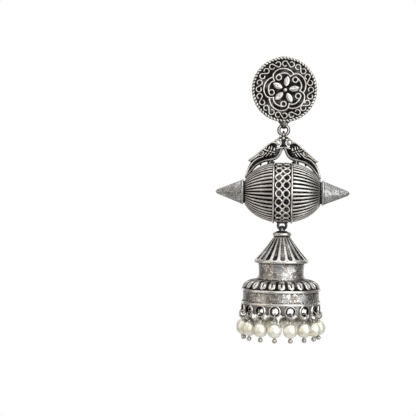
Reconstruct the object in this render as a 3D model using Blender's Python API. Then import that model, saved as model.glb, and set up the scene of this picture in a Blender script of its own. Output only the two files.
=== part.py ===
"""Jhumka earring: a stud disc, a link, a ribbed barrel under two peacocks, and a bell with pearls.

The origin is on the ear post where it leaves the stud disc. The front of the earring faces -Y.
"""

import math

import bmesh
import bpy
from mathutils import Matrix, Vector

MM = 0.001

# Fits
SEAT_GAP = 0.1 * MM
LINK_GAP = 0.1 * MM
SINK = 0.12 * MM
MERGE = 0.0005 * MM

# Stud disc
DISC_RADIUS = 10.15 * MM
DISC_THICKNESS = 0.9 * MM
DISC_DROP = 5.7 * MM
ROPE_RADIUS = 0.55 * MM
ROPE_STRANDS = 22
SCROLL_COUNT = 12
SCROLL_CIRCLE = 8.1 * MM
SCROLL_CURL = 0.84 * MM
SCROLL_REACH = 0.88 * MM
SCROLL_TURN = math.radians(7)
RELIEF_WIDTH = 0.4 * MM
RELIEF_HEIGHT = 0.4 * MM
SWIRL_COUNT = 5
SWIRL_RADIUS = 6.8 * MM
SWIRL_TURN = math.radians(-2)
PETAL_TURN = math.radians(8.6)
PETAL_CIRCLE = 2.6 * MM
PETAL_LENGTH = 3.1 * MM
PETAL_WIDTH = 1.75 * MM
PETAL_HEIGHT = 0.7 * MM
FLOWER_BEAD = 0.68 * MM

# Ear post and nut
POST_RADIUS = 0.45 * MM
POST_PAD_RADIUS = 1.5 * MM
POST_PAD = 0.5 * MM
LOBE_GAP = 5.2 * MM
POST_TAIL = 2.6 * MM
NUT_RADIUS = 5.6 * MM
NUT_THICKNESS = 0.7 * MM
NUT_HUB_RADIUS = 1.6 * MM
NUT_HUB = 1.8 * MM

# Hanging loop of the stud
LOOP_HOLE = 0.7 * MM
LOOP_WIRE = 0.5 * MM
LOOP_WIDTH = 1.4 * MM
LOOP_SINK = 0.4 * MM

# Jump ring
RING_HOLE = 1.015 * MM
RING_WIRE = 1.0 * MM

# Peacock crest
CREST_LOOP_HOLE = 0.7 * MM
CREST_LOOP_WIRE = 0.75 * MM
CREST_HEIGHT = 17.67 * MM
CREST_DEPTH = 2.6 * MM
CREST_FRAME_WIRE = 0.9 * MM
CREST_BEAD = 0.38 * MM
CREST_BEAD_CIRCLE = 0.95 * MM
CREST_BEAD_COUNT = 6
FLOWER_BACK = 0.65 * MM
HEAD_RADIUS = 0.72 * MM
KNOB_RADIUS = 0.43 * MM

# Barrel, its band and its spikes
BARREL_RADIUS = 9.5 * MM
BARREL_HALF = 11.67 * MM
BARREL_END_SHARE = 0.41
BARREL_WALL = 0.5 * MM
RIB_COUNT = 44
RIB_DEPTH = 0.4 * MM
BAND_FLANGE_PROUD = 0.1 * MM
BAND_FLANGE = 0.56 * MM
BAND_WIDTH = 6.2 * MM
BAND_RECESS = 0.25 * MM
BAND_WALL = 0.85 * MM
LATTICE_ROWS = 22
LATTICE_DEPTH = 0.4 * MM
LATTICE_BAR = 0.42 * MM
SPIKE_COLLAR_RADIUS = 3.45 * MM
SPIKE_COLLAR = 0.5 * MM
SPIKE_FLANGE_RADIUS = 3.95 * MM
SPIKE_FLANGE = 0.35 * MM
SPIKE_RADIUS = 3.7 * MM
SPIKE_LENGTH = 8.1 * MM
SPIKE_TIP = 0.5 * MM

# Eyes between the band and the bell
BAND_EYE_HOLE = 0.85 * MM
BAND_EYE_WIRE = 0.7 * MM
BAND_EYE_REACH = 0.95 * MM
BELL_EYE_HOLE = 0.8 * MM
BELL_EYE_WIRE = 0.7 * MM
BELL_EYE_SINK = 0.3 * MM

# Bell
CAP_RADIUS = 2.95 * MM
CAP_HEIGHT = 1.6 * MM
ROOF_RADIUS = 8.45 * MM
ROOF_HEIGHT = 7.2 * MM
ROOF_LIP = 0.75 * MM
ROOF_WALL = 0.6 * MM
FLUTE_COUNT = 20
FLUTE_DEPTH = 0.45 * MM
NECK_RADIUS = 7.15 * MM
NECK_WAIST = 6.95 * MM
NECK_HEIGHT = 4.85 * MM
NECK_WALL = 0.5 * MM
SHOULDER_PROUD = 0.25 * MM
SHOULDER_HEIGHT = 2.7 * MM
PETAL_COUNT = 24
PETAL_DEPTH = 0.45 * MM
RIM_PROUD = 0.45 * MM
RIM_HEIGHT = 0.93 * MM
DRUM_RADIUS = 11.75 * MM
DRUM_HEIGHT = 2.95 * MM
SKIRT_WALL = 0.55 * MM

# Fringe
HOOP_COUNT = 16
HOOP_HOLE = 1.0 * MM
HOOP_WIRE = 0.9 * MM
HOOP_SINK = 0.5 * MM
HOOP_TURN = math.radians(-8.3)
PEARL_RADIUS = 2.15 * MM
PEARL_BORE = 0.42 * MM
PEARL_SIDES = 10
PEARL_BANDS = 4
PIN_WIRE = 0.5 * MM
PIN_EYE_HOLE = 0.88 * MM
PIN_WRAP = 0.62 * MM
PIN_WRAP_RADIUS = 0.55 * MM
PIN_STEM_SHOWING = 0.1 * MM
PIN_BALL = 0.75 * MM

# Places that follow from the sizes above
HANG_PLANE = -DISC_THICKNESS / 2
BAND_FLANGE_RADIUS = BARREL_RADIUS + BAND_FLANGE_PROUD
BAND_LATTICE_RADIUS = BARREL_RADIUS - BAND_RECESS
SHOULDER_RADIUS = DRUM_RADIUS + SHOULDER_PROUD
RIM_RADIUS = DRUM_RADIUS + RIM_PROUD
HOOP_CIRCLE = DRUM_RADIUS
DISC_Z = -DISC_DROP
LOOP_Z = DISC_Z - DISC_RADIUS + LOOP_SINK - LOOP_HOLE - LOOP_WIRE
RING_TOP_Z = LOOP_Z - LOOP_HOLE + LINK_GAP + RING_WIRE / 2
RING_Z = RING_TOP_Z - RING_HOLE - RING_WIRE / 2
CREST_LOOP_Z = RING_Z - RING_HOLE + LINK_GAP - CREST_LOOP_HOLE
BARREL_Z = CREST_LOOP_Z - CREST_HEIGHT
BAND_EYE_Z = BARREL_Z - BAND_LATTICE_RADIUS - BAND_EYE_REACH
BELL_HINGE_Z = BAND_EYE_Z - BAND_EYE_HOLE - BAND_EYE_WIRE / 2
BELL_EYE_Z = BAND_EYE_Z - BAND_EYE_HOLE + LINK_GAP - BELL_EYE_HOLE
CAP_Z = BELL_EYE_Z - BELL_EYE_HOLE + BELL_EYE_SINK
ROOF_Z = CAP_Z - CAP_HEIGHT
ROOF_FOOT_Z = ROOF_Z - ROOF_HEIGHT - ROOF_LIP
NECK_Z = ROOF_FOOT_Z - SEAT_GAP
SKIRT_Z = NECK_Z - NECK_HEIGHT - SEAT_GAP
UPPER_RIM_Z = SKIRT_Z - SHOULDER_HEIGHT
LOWER_RIM_Z = UPPER_RIM_Z - RIM_HEIGHT - DRUM_HEIGHT
SKIRT_FOOT_Z = LOWER_RIM_Z - RIM_HEIGHT
HOOP_Z = SKIRT_FOOT_Z + HOOP_SINK - HOOP_WIRE - HOOP_HOLE
PIN_EYE_Z = HOOP_Z - HOOP_HOLE + LINK_GAP - PIN_EYE_HOLE
PIN_WRAP_Z = PIN_EYE_Z - PIN_EYE_HOLE - PIN_WIRE / 2
PEARL_Z = PIN_WRAP_Z - PIN_WRAP - SEAT_GAP - math.sqrt(PEARL_RADIUS**2 - PEARL_BORE**2)
PIN_BALL_Z = PEARL_Z - PEARL_RADIUS - PIN_STEM_SHOWING - PIN_BALL

# Colours, roughness and metallic value of each finish
FINISHES = {
    "oxidised_silver": ((0.34, 0.33, 0.32), 0.35, 1.0),
    "satin_silver": ((0.55, 0.54, 0.53), 0.45, 1.0),
    "bright_silver": ((0.72, 0.70, 0.68), 0.25, 1.0),
    "pearl": ((0.86, 0.83, 0.74), 0.25, 0.0),
}


def clear_scene():
    for item in list(bpy.data.objects):
        bpy.data.objects.remove(item, do_unlink=True)


def material(name, finish):
    colour, roughness, metallic = FINISHES[finish]
    made = bpy.data.materials.new(name)
    made.use_nodes = True
    shader = made.node_tree.nodes["Principled BSDF"]
    shader.inputs["Base Color"].default_value = (*colour, 1.0)
    shader.inputs["Roughness"].default_value = roughness
    shader.inputs["Metallic"].default_value = metallic
    return made


def circle(radius, height, sides, turn=0.0):
    step = 2 * math.pi / sides
    return [
        Vector((radius * math.cos(turn + i * step), radius * math.sin(turn + i * step), height))
        for i in range(sides)
    ]


def skin(rings, closed=False, place=None):
    """A closed mesh through rings of points; a ring of one point is a pole."""
    mesh = bmesh.new()
    rows = [[mesh.verts.new(point) for point in ring] for ring in rings]
    pairs = list(zip(rows, rows[1:]))
    if closed:
        pairs.append((rows[-1], rows[0]))
    for low, high in pairs:
        bridge(mesh, low, high)
    if not closed:
        for end in (rows[0], rows[-1]):
            if len(end) > 2:
                mesh.faces.new(end)
    bmesh.ops.recalc_face_normals(mesh, faces=mesh.faces)
    if place is not None:
        mesh.transform(place)
    return mesh


def bridge(mesh, low, high):
    """Faces between two rings, whose counts are equal, or one a multiple of the other, or a pole."""
    if len(low) < len(high):
        low, high = high, low
    count = len(low)
    share = count // len(high)
    for i in range(count):
        after = (i + 1) % count
        near = high[((i + share // 2) // share) % len(high)]
        far = high[((after + share // 2) // share) % len(high)]
        if near is far:
            mesh.faces.new((low[i], low[after], near))
        else:
            mesh.faces.new((low[i], low[after], far, near))


def lathe(profile, sides, closed=True, turn=0.0, place=None):
    """A turned solid about Z; the profile is a list of (radius, height)."""
    rings = []
    for radius, height in profile:
        if radius == 0.0:
            rings.append([Vector((0.0, 0.0, height))])
        else:
            rings.append(circle(radius, height, sides, turn))
    return skin(rings, closed, place)


def torus(major, minor, segments, sides, place, stretch=1.0):
    """A ring about Z with a round wire, or an oval one whose height is stretched."""
    rings = []
    for i in range(segments):
        angle = 2 * math.pi * i / segments
        ring = []
        for j in range(sides):
            turn = 2 * math.pi * (j + 0.5) / sides
            radius = major + minor * math.cos(turn)
            height = stretch * minor * math.sin(turn)
            ring.append(Vector((radius * math.cos(angle), radius * math.sin(angle), height)))
        rings.append(ring)
    return skin(rings, closed=True, place=place)


def sweep(path, section, place=None):
    """A bar along a flat path in XY; the section is a list of (sideways, up)."""
    rings = []
    for i, point in enumerate(path):
        before = path[max(i - 1, 0)]
        after = path[min(i + 1, len(path) - 1)]
        along = (after - before).normalized()
        side = Vector((along.y, -along.x))
        rings.append([Vector((point.x + side.x * s, point.y + side.y * s, up)) for s, up in section])
    return skin(rings, place=place)


def prism(outline, low, high, place=None):
    """A plate with a flat outline in XY, from one height to another."""
    rings = [[Vector((x, y, height)) for x, y in outline] for height in (low, high)]
    return skin(rings, place=place)


def ball(radius, sides, rings, place, squash=(1.0, 1.0, 1.0)):
    """A round or oval bead with its poles on Z."""
    profile = [(0.0, radius)]
    for i in range(1, rings):
        angle = math.pi * i / rings
        profile.append((radius * math.sin(angle), radius * math.cos(angle)))
    profile.append((0.0, -radius))
    return lathe(profile, sides, closed=False, place=place @ Matrix.Diagonal((*squash, 1.0)))


def at(x, y, z):
    return Matrix.Translation((x, y, z))


FACING_FRONT = Matrix.Rotation(math.radians(90), 4, "X")
ALONG_X = Matrix.Rotation(math.radians(90), 4, "Y")


def show(name, mesh, finish, parent=None, origin=(0.0, 0.0, 0.0), smooth=40):
    """Makes a named object from a mesh in world places, with its origin moved where told."""
    mesh.transform(at(*[-value for value in origin]))
    data = bpy.data.meshes.new(name)
    mesh.to_mesh(data)
    mesh.free()
    data.shade_smooth()
    data.set_sharp_from_angle(angle=math.radians(smooth))
    made = bpy.data.objects.new(name, data)
    made.data.materials.append(material(name + "_finish", finish))
    bpy.context.scene.collection.objects.link(made)
    if parent is None:
        made.location = origin
    else:
        made.parent = parent
        made.location = Vector(origin) - parent.location
    return made


def pivot(name, place, parent=None):
    made = bpy.data.objects.new(name, None)
    bpy.context.scene.collection.objects.link(made)
    made.location = place
    if parent is not None:
        made.parent = parent
        made.location = Vector(place) - world_place(parent)
    return made


def world_place(item):
    place = Vector(item.location)
    while item.parent is not None:
        item = item.parent
        place += item.location
    return place


def fuse(solids, cuts=()):
    """One solid from several, with the cuts taken out of it."""
    base = loose_object("fused", solids[0])
    helpers = []
    for operation, meshes in (("UNION", solids[1:]), ("DIFFERENCE", cuts)):
        if not meshes:
            continue
        group = bpy.data.collections.new(operation.lower())
        bpy.context.scene.collection.children.link(group)
        for mesh in meshes:
            item = loose_object("piece", mesh)
            bpy.context.scene.collection.objects.unlink(item)
            group.objects.link(item)
            helpers.append(item)
        joint = base.modifiers.new(operation.lower(), "BOOLEAN")
        joint.operation = operation
        joint.operand_type = "COLLECTION"
        joint.collection = group
        joint.solver = "EXACT"
    bpy.context.view_layer.update()
    scene_now = bpy.context.evaluated_depsgraph_get()
    result = bmesh.new()
    result.from_mesh(base.evaluated_get(scene_now).data)
    bmesh.ops.remove_doubles(result, verts=result.verts, dist=MERGE)
    bmesh.ops.dissolve_degenerate(result, edges=result.edges, dist=MERGE)
    for item in [base, *helpers]:
        bpy.data.objects.remove(item, do_unlink=True)
    for group in list(bpy.data.collections):
        bpy.data.collections.remove(group)
    return result


def loose_object(name, mesh):
    data = bpy.data.meshes.new(name)
    mesh.to_mesh(data)
    mesh.free()
    made = bpy.data.objects.new(name, data)
    bpy.context.scene.collection.objects.link(made)
    return made


def polar(radius, angle):
    """A point of the disc, from its radius and its angle clockwise from the top."""
    return Vector((radius * math.sin(angle), radius * math.cos(angle)))


def ridge(path, place):
    """A raised wire with a pointed back, sunk a little in the face that it stands on."""
    half = RELIEF_WIDTH / 2
    return sweep(path, [(-half, -SINK), (0.0, RELIEF_HEIGHT), (half, -SINK)], place)


def scroll_path(turn):
    """One S scroll: two curls and the slanting bar between them."""
    steps = 3
    curl = []
    for i in range(steps + 1):
        angle = math.radians(240 + 230 * i / steps)
        curl.append(Vector((SCROLL_REACH + SCROLL_CURL * math.cos(angle), SCROLL_CURL * math.sin(angle))))
    local = [-point for point in reversed(curl)] + curl
    centre = polar(SCROLL_CIRCLE, turn)
    across = Vector((math.cos(turn), -math.sin(turn)))
    outward = centre.normalized()
    return [centre + across * point.x + outward * point.y for point in local]


# Swirl lobes: degrees clockwise from the lobe's middle, and share of the swirl radius
LOBE_OUTER = ((-49, 0.66), (-44, 0.80), (-35, 0.93), (-18, 1.0), (0, 0.99), (15, 0.915), (25, 0.855))
LOBE_INNER = ((-17, 0.76), (-3, 0.775), (10, 0.745), (21, 0.675))
LOBE_CURL_ANGLE = -27
LOBE_CURL_SHARE = 0.66
LOBE_CURL_RADIUS_SHARE = 0.115


def swirl_ridges(place):
    made = []
    for k in range(SWIRL_COUNT):
        middle = SWIRL_TURN + 2 * math.pi * k / SWIRL_COUNT
        for table in (LOBE_OUTER, LOBE_INNER):
            path = [polar(share * SWIRL_RADIUS, middle + math.radians(angle)) for angle, share in table]
            made.append(ridge(path, place))
        centre = polar(LOBE_CURL_SHARE * SWIRL_RADIUS, middle + math.radians(LOBE_CURL_ANGLE))
        curl = LOBE_CURL_RADIUS_SHARE * SWIRL_RADIUS
        made.append(torus(curl, 0.6 * RELIEF_WIDTH, 8, 3, place @ at(centre.x, centre.y, 0.0)))
    return made


def petals(place):
    made = []
    for k in range(SWIRL_COUNT):
        turn = PETAL_TURN + 2 * math.pi * k / SWIRL_COUNT
        centre = polar(PETAL_CIRCLE, turn)
        spin = Matrix.Rotation(math.pi / 2 - turn, 4, "Z")
        half = PETAL_LENGTH / 2
        wide = PETAL_WIDTH / 2
        outline = [(half, 0), (0.5 * half, 0.8 * wide), (-0.2 * half, wide), (-half, 0.25 * wide)]
        outline += [(-half, -0.25 * wide), (-0.2 * half, -wide), (0.5 * half, -0.8 * wide)]
        foot = [Vector((x, y, -SINK)) for x, y in outline]
        crown = [Vector((0.55 * x, 0.55 * y, PETAL_HEIGHT)) for x, y in outline]
        made.append(skin([foot, crown], place=place @ at(centre.x, centre.y, 0.0) @ spin))
    return made


def plate_with_rope(place):
    """The round plate with its twisted border, whose strands rise and fall round the edge."""
    count = 2 * ROPE_STRANDS
    inner = DISC_RADIUS - 2 * ROPE_RADIUS
    middle = DISC_RADIUS - ROPE_RADIUS
    rings = [circle(inner, 0.0, count), circle(middle, 0.0, count)]
    for level, lean in ((0.75, 0), (1.5, 1)):
        ring = circle(DISC_RADIUS, level * ROPE_RADIUS, count)
        for i, point in enumerate(ring):
            if (i + lean) % 2:
                point.xy *= (DISC_RADIUS - 0.3 * ROPE_RADIUS) / DISC_RADIUS
        rings.append(ring)
    crown = circle(middle, DISC_THICKNESS + ROPE_RADIUS, count)
    for i, point in enumerate(crown):
        if i % 2:
            point.z -= 0.4 * ROPE_RADIUS
    rings.append(crown)
    rings.append(circle(inner, DISC_THICKNESS, count))
    return skin(rings, place=place)


def make_stud_disc(parent):
    back = at(0.0, 0.0, DISC_Z) @ FACING_FRONT
    face = back @ at(0.0, 0.0, DISC_THICKNESS)
    solids = [plate_with_rope(back)]
    for k in range(SCROLL_COUNT):
        solids.append(ridge(scroll_path(SCROLL_TURN + 2 * math.pi * k / SCROLL_COUNT), face))
    solids += swirl_ridges(face)
    solids += petals(face)
    solids.append(ball(FLOWER_BEAD, 8, 3, face @ at(0.0, 0.0, SINK)))
    loop_place = at(0.0, HANG_PLANE, LOOP_Z) @ ALONG_X
    solids.append(torus(LOOP_HOLE + LOOP_WIRE / 2, LOOP_WIRE / 2, 10, 5, loop_place, LOOP_WIDTH / LOOP_WIRE))
    show("stud_disc", fuse(solids), "oxidised_silver", parent)


def make_ear_post(parent):
    length = LOBE_GAP + NUT_THICKNESS + NUT_HUB + POST_TAIL
    place = at(0.0, SEAT_GAP, 0.0) @ Matrix.Rotation(math.radians(-90), 4, "X")
    profile = [(0.0, 0.0), (POST_PAD_RADIUS, 0.0), (POST_PAD_RADIUS, POST_PAD), (POST_RADIUS, POST_PAD),
               (POST_RADIUS, length - POST_RADIUS), (POST_RADIUS / 2, length), (0.0, length)]
    show("ear_post", lathe(profile, 10, closed=False, place=place), "bright_silver", parent)


def make_ear_back(parent):
    bore = POST_RADIUS + SEAT_GAP
    plate = LOBE_GAP + NUT_THICKNESS
    hub = plate + NUT_HUB
    profile = [(bore, LOBE_GAP), (NUT_RADIUS, LOBE_GAP), (NUT_RADIUS, plate), (NUT_HUB_RADIUS, plate),
               (NUT_HUB_RADIUS, hub), (bore, hub)]
    place = Matrix.Rotation(math.radians(-90), 4, "X")
    show("ear_back", lathe(profile, 16, place=place), "bright_silver", parent)


def make_jump_ring(parent):
    place = at(0.0, HANG_PLANE, RING_Z) @ FACING_FRONT
    mesh = torus(RING_HOLE + RING_WIRE / 2, RING_WIRE / 2, 14, 6, place)
    show("jump_ring", mesh, "oxidised_silver", parent, origin=(0.0, HANG_PLANE, RING_TOP_Z))


# Right-hand peacock: across as a share of the barrel's half length, up as a share of the crest's height
BIRD_FRAME = ((0.03, 0.775), (0.096, 0.735), (0.138, 0.672), (0.218, 0.618), (0.30, 0.582), (0.42, 0.562),
              (0.545, 0.538), (0.667, 0.495), (0.768, 0.44), (0.85, 0.372), (0.92, 0.31), (0.965, 0.27))
BIRD_WING = ((0.19, 0.80), (0.27, 0.825), (0.362, 0.815), (0.563, 0.73), (0.768, 0.626), (0.90, 0.553),
             (0.869, 0.518), (0.717, 0.592), (0.563, 0.606), (0.43, 0.60), (0.30, 0.655), (0.22, 0.72))
BIRD_BODY = ((0.05, 0.80), (0.36, 0.79), (0.74, 0.60), (0.88, 0.50), (0.965, 0.37), (0.985, 0.29),
             (0.86, 0.385), (0.667, 0.51), (0.42, 0.58), (0.218, 0.635), (0.10, 0.75))
BIRD_TAIL = ((0.55, 0.615), (0.70, 0.575), (0.82, 0.505), (0.905, 0.42), (0.955, 0.33))
BIRD_NECK = ((0.034, 0.787), (0.12, 0.775), (0.22, 0.755))
BIRD_HEAD = (0.128, 0.872)
BIRD_FOOT = ((0.25, 0.60), (0.405, 0.58), (0.405, 0.48), (0.25, 0.48))
BIRD_KNOB = (0.595, 0.505)
CREST_PLATE = ((0.0, 0.962), (0.06, 0.955), (0.12, 0.925), (0.24, 0.835), (0.19, 0.79), (0.05, 0.765),
               (0.0, 0.775))


def crest_point(across, up, side=1):
    return Vector((side * across * BARREL_HALF, BARREL_Z + up * CREST_HEIGHT))


def crest_outline(table, side):
    return [crest_point(across, up, side) for across, up in table]


def make_crest(parent, barrel_gap):
    """Two facing birds, the bead flower between their heads and the hanging loop, in one casting."""
    middle = at(0.0, HANG_PLANE, 0.0) @ FACING_FRONT
    half = CREST_DEPTH / 2
    plate = [crest_point(across, up, side) for side, table in ((1, CREST_PLATE), (-1, CREST_PLATE[-2:0:-1]))
             for across, up in table]
    solids = [prism(plate, -0.4 * half, 0.85 * half, middle)]
    wire = CREST_FRAME_WIRE / 2
    frame_section = [(wire, half), (-wire, half), (-wire, -half), (wire, -half)]
    tail_section = [(0.5 * wire, 0.85 * half), (-0.3 * wire, 0.85 * half), (-0.3 * wire, -0.87 * half),
                    (0.5 * wire, -0.87 * half)]
    neck_section = [(-0.5 * wire, 0.0), (0.0, 1.25 * half), (0.5 * wire, 0.0)]
    for side in (1, -1):
        solids.append(prism(crest_outline(BIRD_BODY, side), -0.7 * half, 0.55 * half, middle))
        solids.append(prism(crest_outline(BIRD_WING, side), -0.93 * half, 1.05 * half, middle))
        solids.append(prism(crest_outline(BIRD_FOOT, side), -0.8 * half, 0.8 * half, middle))
        solids.append(sweep(crest_outline(BIRD_FRAME, side), frame_section, middle))
        solids.append(sweep(crest_outline(BIRD_TAIL, side), tail_section, middle))
        solids.append(sweep(crest_outline(BIRD_NECK, side), neck_section, middle))
        head = crest_point(*BIRD_HEAD, side)
        solids.append(ball(HEAD_RADIUS, 8, 4, middle @ at(head.x, head.y, 0.2 * half), (0.9, 1.1, 1.5)))
        knob = crest_point(*BIRD_KNOB, side)
        knob_place = middle @ at(knob.x, knob.y, 0.1 * half)
        solids.append(ball(KNOB_RADIUS, 6, 4, knob_place, (1.0, 1.3, 1.5)))
    loop_place = at(0.0, HANG_PLANE, CREST_LOOP_Z) @ ALONG_X
    solids.append(torus(CREST_LOOP_HOLE + CREST_LOOP_WIRE / 2, CREST_LOOP_WIRE / 2, 10, 5, loop_place))
    flower_z = CREST_LOOP_Z - CREST_BEAD_CIRCLE
    front = RING_WIRE / 2 + SEAT_GAP
    flower = at(0.0, HANG_PLANE, flower_z) @ FACING_FRONT
    back_radius = 1.25 * CREST_BEAD_CIRCLE
    face = front + FLOWER_BACK
    back_profile = [(0.0, face), (back_radius, face), (back_radius, front), (0.0, front)]
    solids.append(lathe(back_profile, 2 * CREST_BEAD_COUNT, closed=False, place=flower))
    places = [Vector((0.0, 0.0))]
    places += [polar(CREST_BEAD_CIRCLE, 2 * math.pi * k / CREST_BEAD_COUNT) for k in range(CREST_BEAD_COUNT)]
    for place in places:
        solids.append(ball(CREST_BEAD, 6, 3, flower @ at(place.x, place.y, face)))
    mesh = fuse(solids, [barrel_gap])
    show("peacock_crest", mesh, "oxidised_silver", parent, origin=(0.0, HANG_PLANE, RING_Z))


def barrel_radius(across):
    return BARREL_RADIUS * math.sqrt(1 - (1 - BARREL_END_SHARE**2) * (across / BARREL_HALF) ** 2)


def barrel_stations():
    """Places along a barrel half, from its inner end to its outer end."""
    start = BAND_WIDTH / 2 + SEAT_GAP
    return [start + share * (BARREL_HALF - start) for share in (0.0, 0.42, 0.76, 1.0)]


def barrel_clearance():
    """The room that the barrel and its band need, to shape the crest's feet."""
    gap = 2 * SEAT_GAP
    profile = [(0.0, -BARREL_HALF - gap)]
    for across in reversed(barrel_stations()):
        profile.append((barrel_radius(across) + gap, -across))
    for across in (-BAND_WIDTH / 2, BAND_WIDTH / 2):
        profile.append((BAND_FLANGE_RADIUS + gap, across))
    for across in barrel_stations():
        profile.append((barrel_radius(across) + gap, across))
    profile.append((0.0, BARREL_HALF + gap))
    place = at(0.0, HANG_PLANE, BARREL_Z) @ ALONG_X
    return lathe(profile, RIB_COUNT, closed=False, place=place)


def make_barrel_half(name, side, parent):
    """A hollow half with rounded ribs along it, open at both ends."""
    rings = []
    for across in barrel_stations():
        crown = barrel_radius(across)
        depth = RIB_DEPTH * (0.35 + 0.65 * crown / BARREL_RADIUS)
        ring = circle(crown, side * across, 2 * RIB_COUNT)
        for i, point in enumerate(ring):
            if i % 2:
                point.xy *= (crown - depth) / crown
        rings.append(ring)
    for across in reversed(barrel_stations()):
        inner = barrel_radius(across) - RIB_DEPTH - BARREL_WALL
        rings.append(circle(inner, side * across, RIB_COUNT // 2))
    centre = (0.0, HANG_PLANE, BARREL_Z)
    mesh = skin(rings, closed=True, place=at(*centre) @ ALONG_X)
    show(name, mesh, "oxidised_silver", parent, centre, smooth=20)


def make_lattice_band(parent):
    """Flanges, a drum with one flat for each row, and the sunk cells between the raised rings."""
    half = BAND_WIDTH / 2
    inside = half - BAND_FLANGE
    inner = BAND_LATTICE_RADIUS - BAND_WALL
    flat = 1 / math.cos(math.pi / LATTICE_ROWS)
    profile = [(inner * flat, -half), (inner * flat, half), (BAND_FLANGE_RADIUS, half),
               (BAND_FLANGE_RADIUS, inside), (BAND_LATTICE_RADIUS, inside), (BAND_LATTICE_RADIUS, -inside),
               (BAND_FLANGE_RADIUS, -inside), (BAND_FLANGE_RADIUS, -half)]
    place = at(0.0, HANG_PLANE, BARREL_Z) @ ALONG_X
    drum = lathe(profile, LATTICE_ROWS, place=place)
    step = 2 * math.pi / LATTICE_ROWS
    face = BAND_LATTICE_RADIUS / flat
    tall = 2 * face * math.tan(step / 2)
    wide = inside
    hole_tall = tall / 2 - LATTICE_BAR / 2
    hole_wide = wide / 2 - LATTICE_BAR / 2
    outline = [(hole_wide, 0.0), (0.5 * hole_wide, hole_tall), (-0.5 * hole_wide, hole_tall),
               (-hole_wide, 0.0), (-0.5 * hole_wide, -hole_tall), (0.5 * hole_wide, -hole_tall)]
    cuts = []
    for row in range(LATTICE_ROWS):
        turn = Matrix.Rotation((row + 0.5) * step, 4, "Z")
        upright = place @ turn @ at(face, 0.0, 0.0) @ ALONG_X
        for side in (-1, 1):
            hole_place = upright @ at(side * wide / 2, 0.0, 0.0)
            cuts.append(prism(outline, -LATTICE_DEPTH, LATTICE_DEPTH, hole_place))
    eye_place = at(0.0, HANG_PLANE, BAND_EYE_Z) @ FACING_FRONT
    eye = torus(BAND_EYE_HOLE + BAND_EYE_WIRE / 2, BAND_EYE_WIRE / 2, 10, 5, eye_place)
    show("lattice_band", fuse([drum, eye], cuts), "oxidised_silver", parent, (0.0, HANG_PLANE, BARREL_Z), 20)


def make_spike(name, side, parent):
    start = BARREL_HALF + SEAT_GAP
    collar = start + SPIKE_COLLAR
    cone = collar + SPIKE_FLANGE
    tip = cone + SPIKE_LENGTH
    profile = [(0.0, start), (SPIKE_COLLAR_RADIUS, start), (SPIKE_COLLAR_RADIUS, collar),
               (SPIKE_FLANGE_RADIUS, collar), (SPIKE_FLANGE_RADIUS, cone), (SPIKE_RADIUS, cone),
               (SPIKE_TIP, tip - 0.6 * SPIKE_TIP), (0.0, tip)]
    place = at(0.0, HANG_PLANE, BARREL_Z) @ ALONG_X
    mesh = lathe([(radius, side * height) for radius, height in profile], 16, closed=False, place=place)
    show(name, mesh, "satin_silver", parent, (0.0, HANG_PLANE, BARREL_Z))


def bell_axis():
    return at(0.0, HANG_PLANE, 0.0)


# Roof: share of the way from the cap ring to the lip, down and out
ROOF_SECTIONS = ((0.0, 0.0), (0.5, 0.455), (0.93, 0.96))


def make_bell_roof(parent):
    """Fluted cone under a cap ring, with the eye soldered in the cap."""
    start = 0.93 * CAP_RADIUS
    rings = [[Vector((0.0, 0.0, CAP_Z))]]
    for radius, drop in ((0.7, 0.0), (1.0, 0.3), (0.95, 0.8)):
        rings.append(circle(radius * CAP_RADIUS, CAP_Z - drop * CAP_HEIGHT, FLUTE_COUNT))
    for down, out in ROOF_SECTIONS:
        radius = start + out * (ROOF_RADIUS - start)
        ring = circle(radius, ROOF_Z - down * ROOF_HEIGHT, 2 * FLUTE_COUNT)
        for i, point in enumerate(ring):
            if i % 2:
                point.xy *= (radius - FLUTE_DEPTH * (0.4 + 0.6 * out)) / radius
        rings.append(ring)
    foot = NECK_RADIUS - NECK_WALL
    for radius, height in ((ROOF_RADIUS, ROOF_Z - ROOF_HEIGHT), (ROOF_RADIUS, ROOF_FOOT_Z + 0.3 * ROOF_LIP),
                           (ROOF_RADIUS - 0.5 * ROOF_LIP, ROOF_FOOT_Z), (foot, ROOF_FOOT_Z),
                           (foot, ROOF_FOOT_Z + ROOF_LIP)):
        rings.append(circle(radius, height, FLUTE_COUNT))
    for down, out in (ROOF_SECTIONS[1],):
        inner = start + out * (ROOF_RADIUS - start) - FLUTE_DEPTH - ROOF_WALL
        rings.append(circle(inner, ROOF_Z - down * ROOF_HEIGHT, FLUTE_COUNT))
    rings.append([Vector((0.0, 0.0, ROOF_Z - 0.1 * ROOF_HEIGHT))])
    cone = skin(rings, place=bell_axis())
    eye = torus(BELL_EYE_HOLE + BELL_EYE_WIRE / 2, BELL_EYE_WIRE / 2, 10, 5,
                at(0.0, HANG_PLANE, BELL_EYE_Z) @ ALONG_X)
    show("bell_roof", fuse([cone, eye]), "oxidised_silver", parent, (0.0, HANG_PLANE, BELL_HINGE_Z), 25)


def make_bell_neck(parent):
    middle = NECK_Z - NECK_HEIGHT / 2
    foot = NECK_Z - NECK_HEIGHT
    inner = NECK_RADIUS - NECK_WALL
    profile = [(NECK_RADIUS, NECK_Z), (NECK_WAIST, middle), (NECK_RADIUS, foot), (inner, foot),
               (NECK_WAIST - NECK_WALL, middle), (inner, NECK_Z)]
    mesh = lathe(profile, PETAL_COUNT, place=bell_axis())
    show("bell_neck", mesh, "satin_silver", parent, (0.0, HANG_PLANE, BELL_HINGE_Z))


# Shoulder: share of its height down, and share of the way from the neck to the shoulder radius
SHOULDER_SECTIONS = ((0.0, 0.26), (0.2, 0.7), (0.55, 0.92), (1.0, 1.0))


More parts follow.
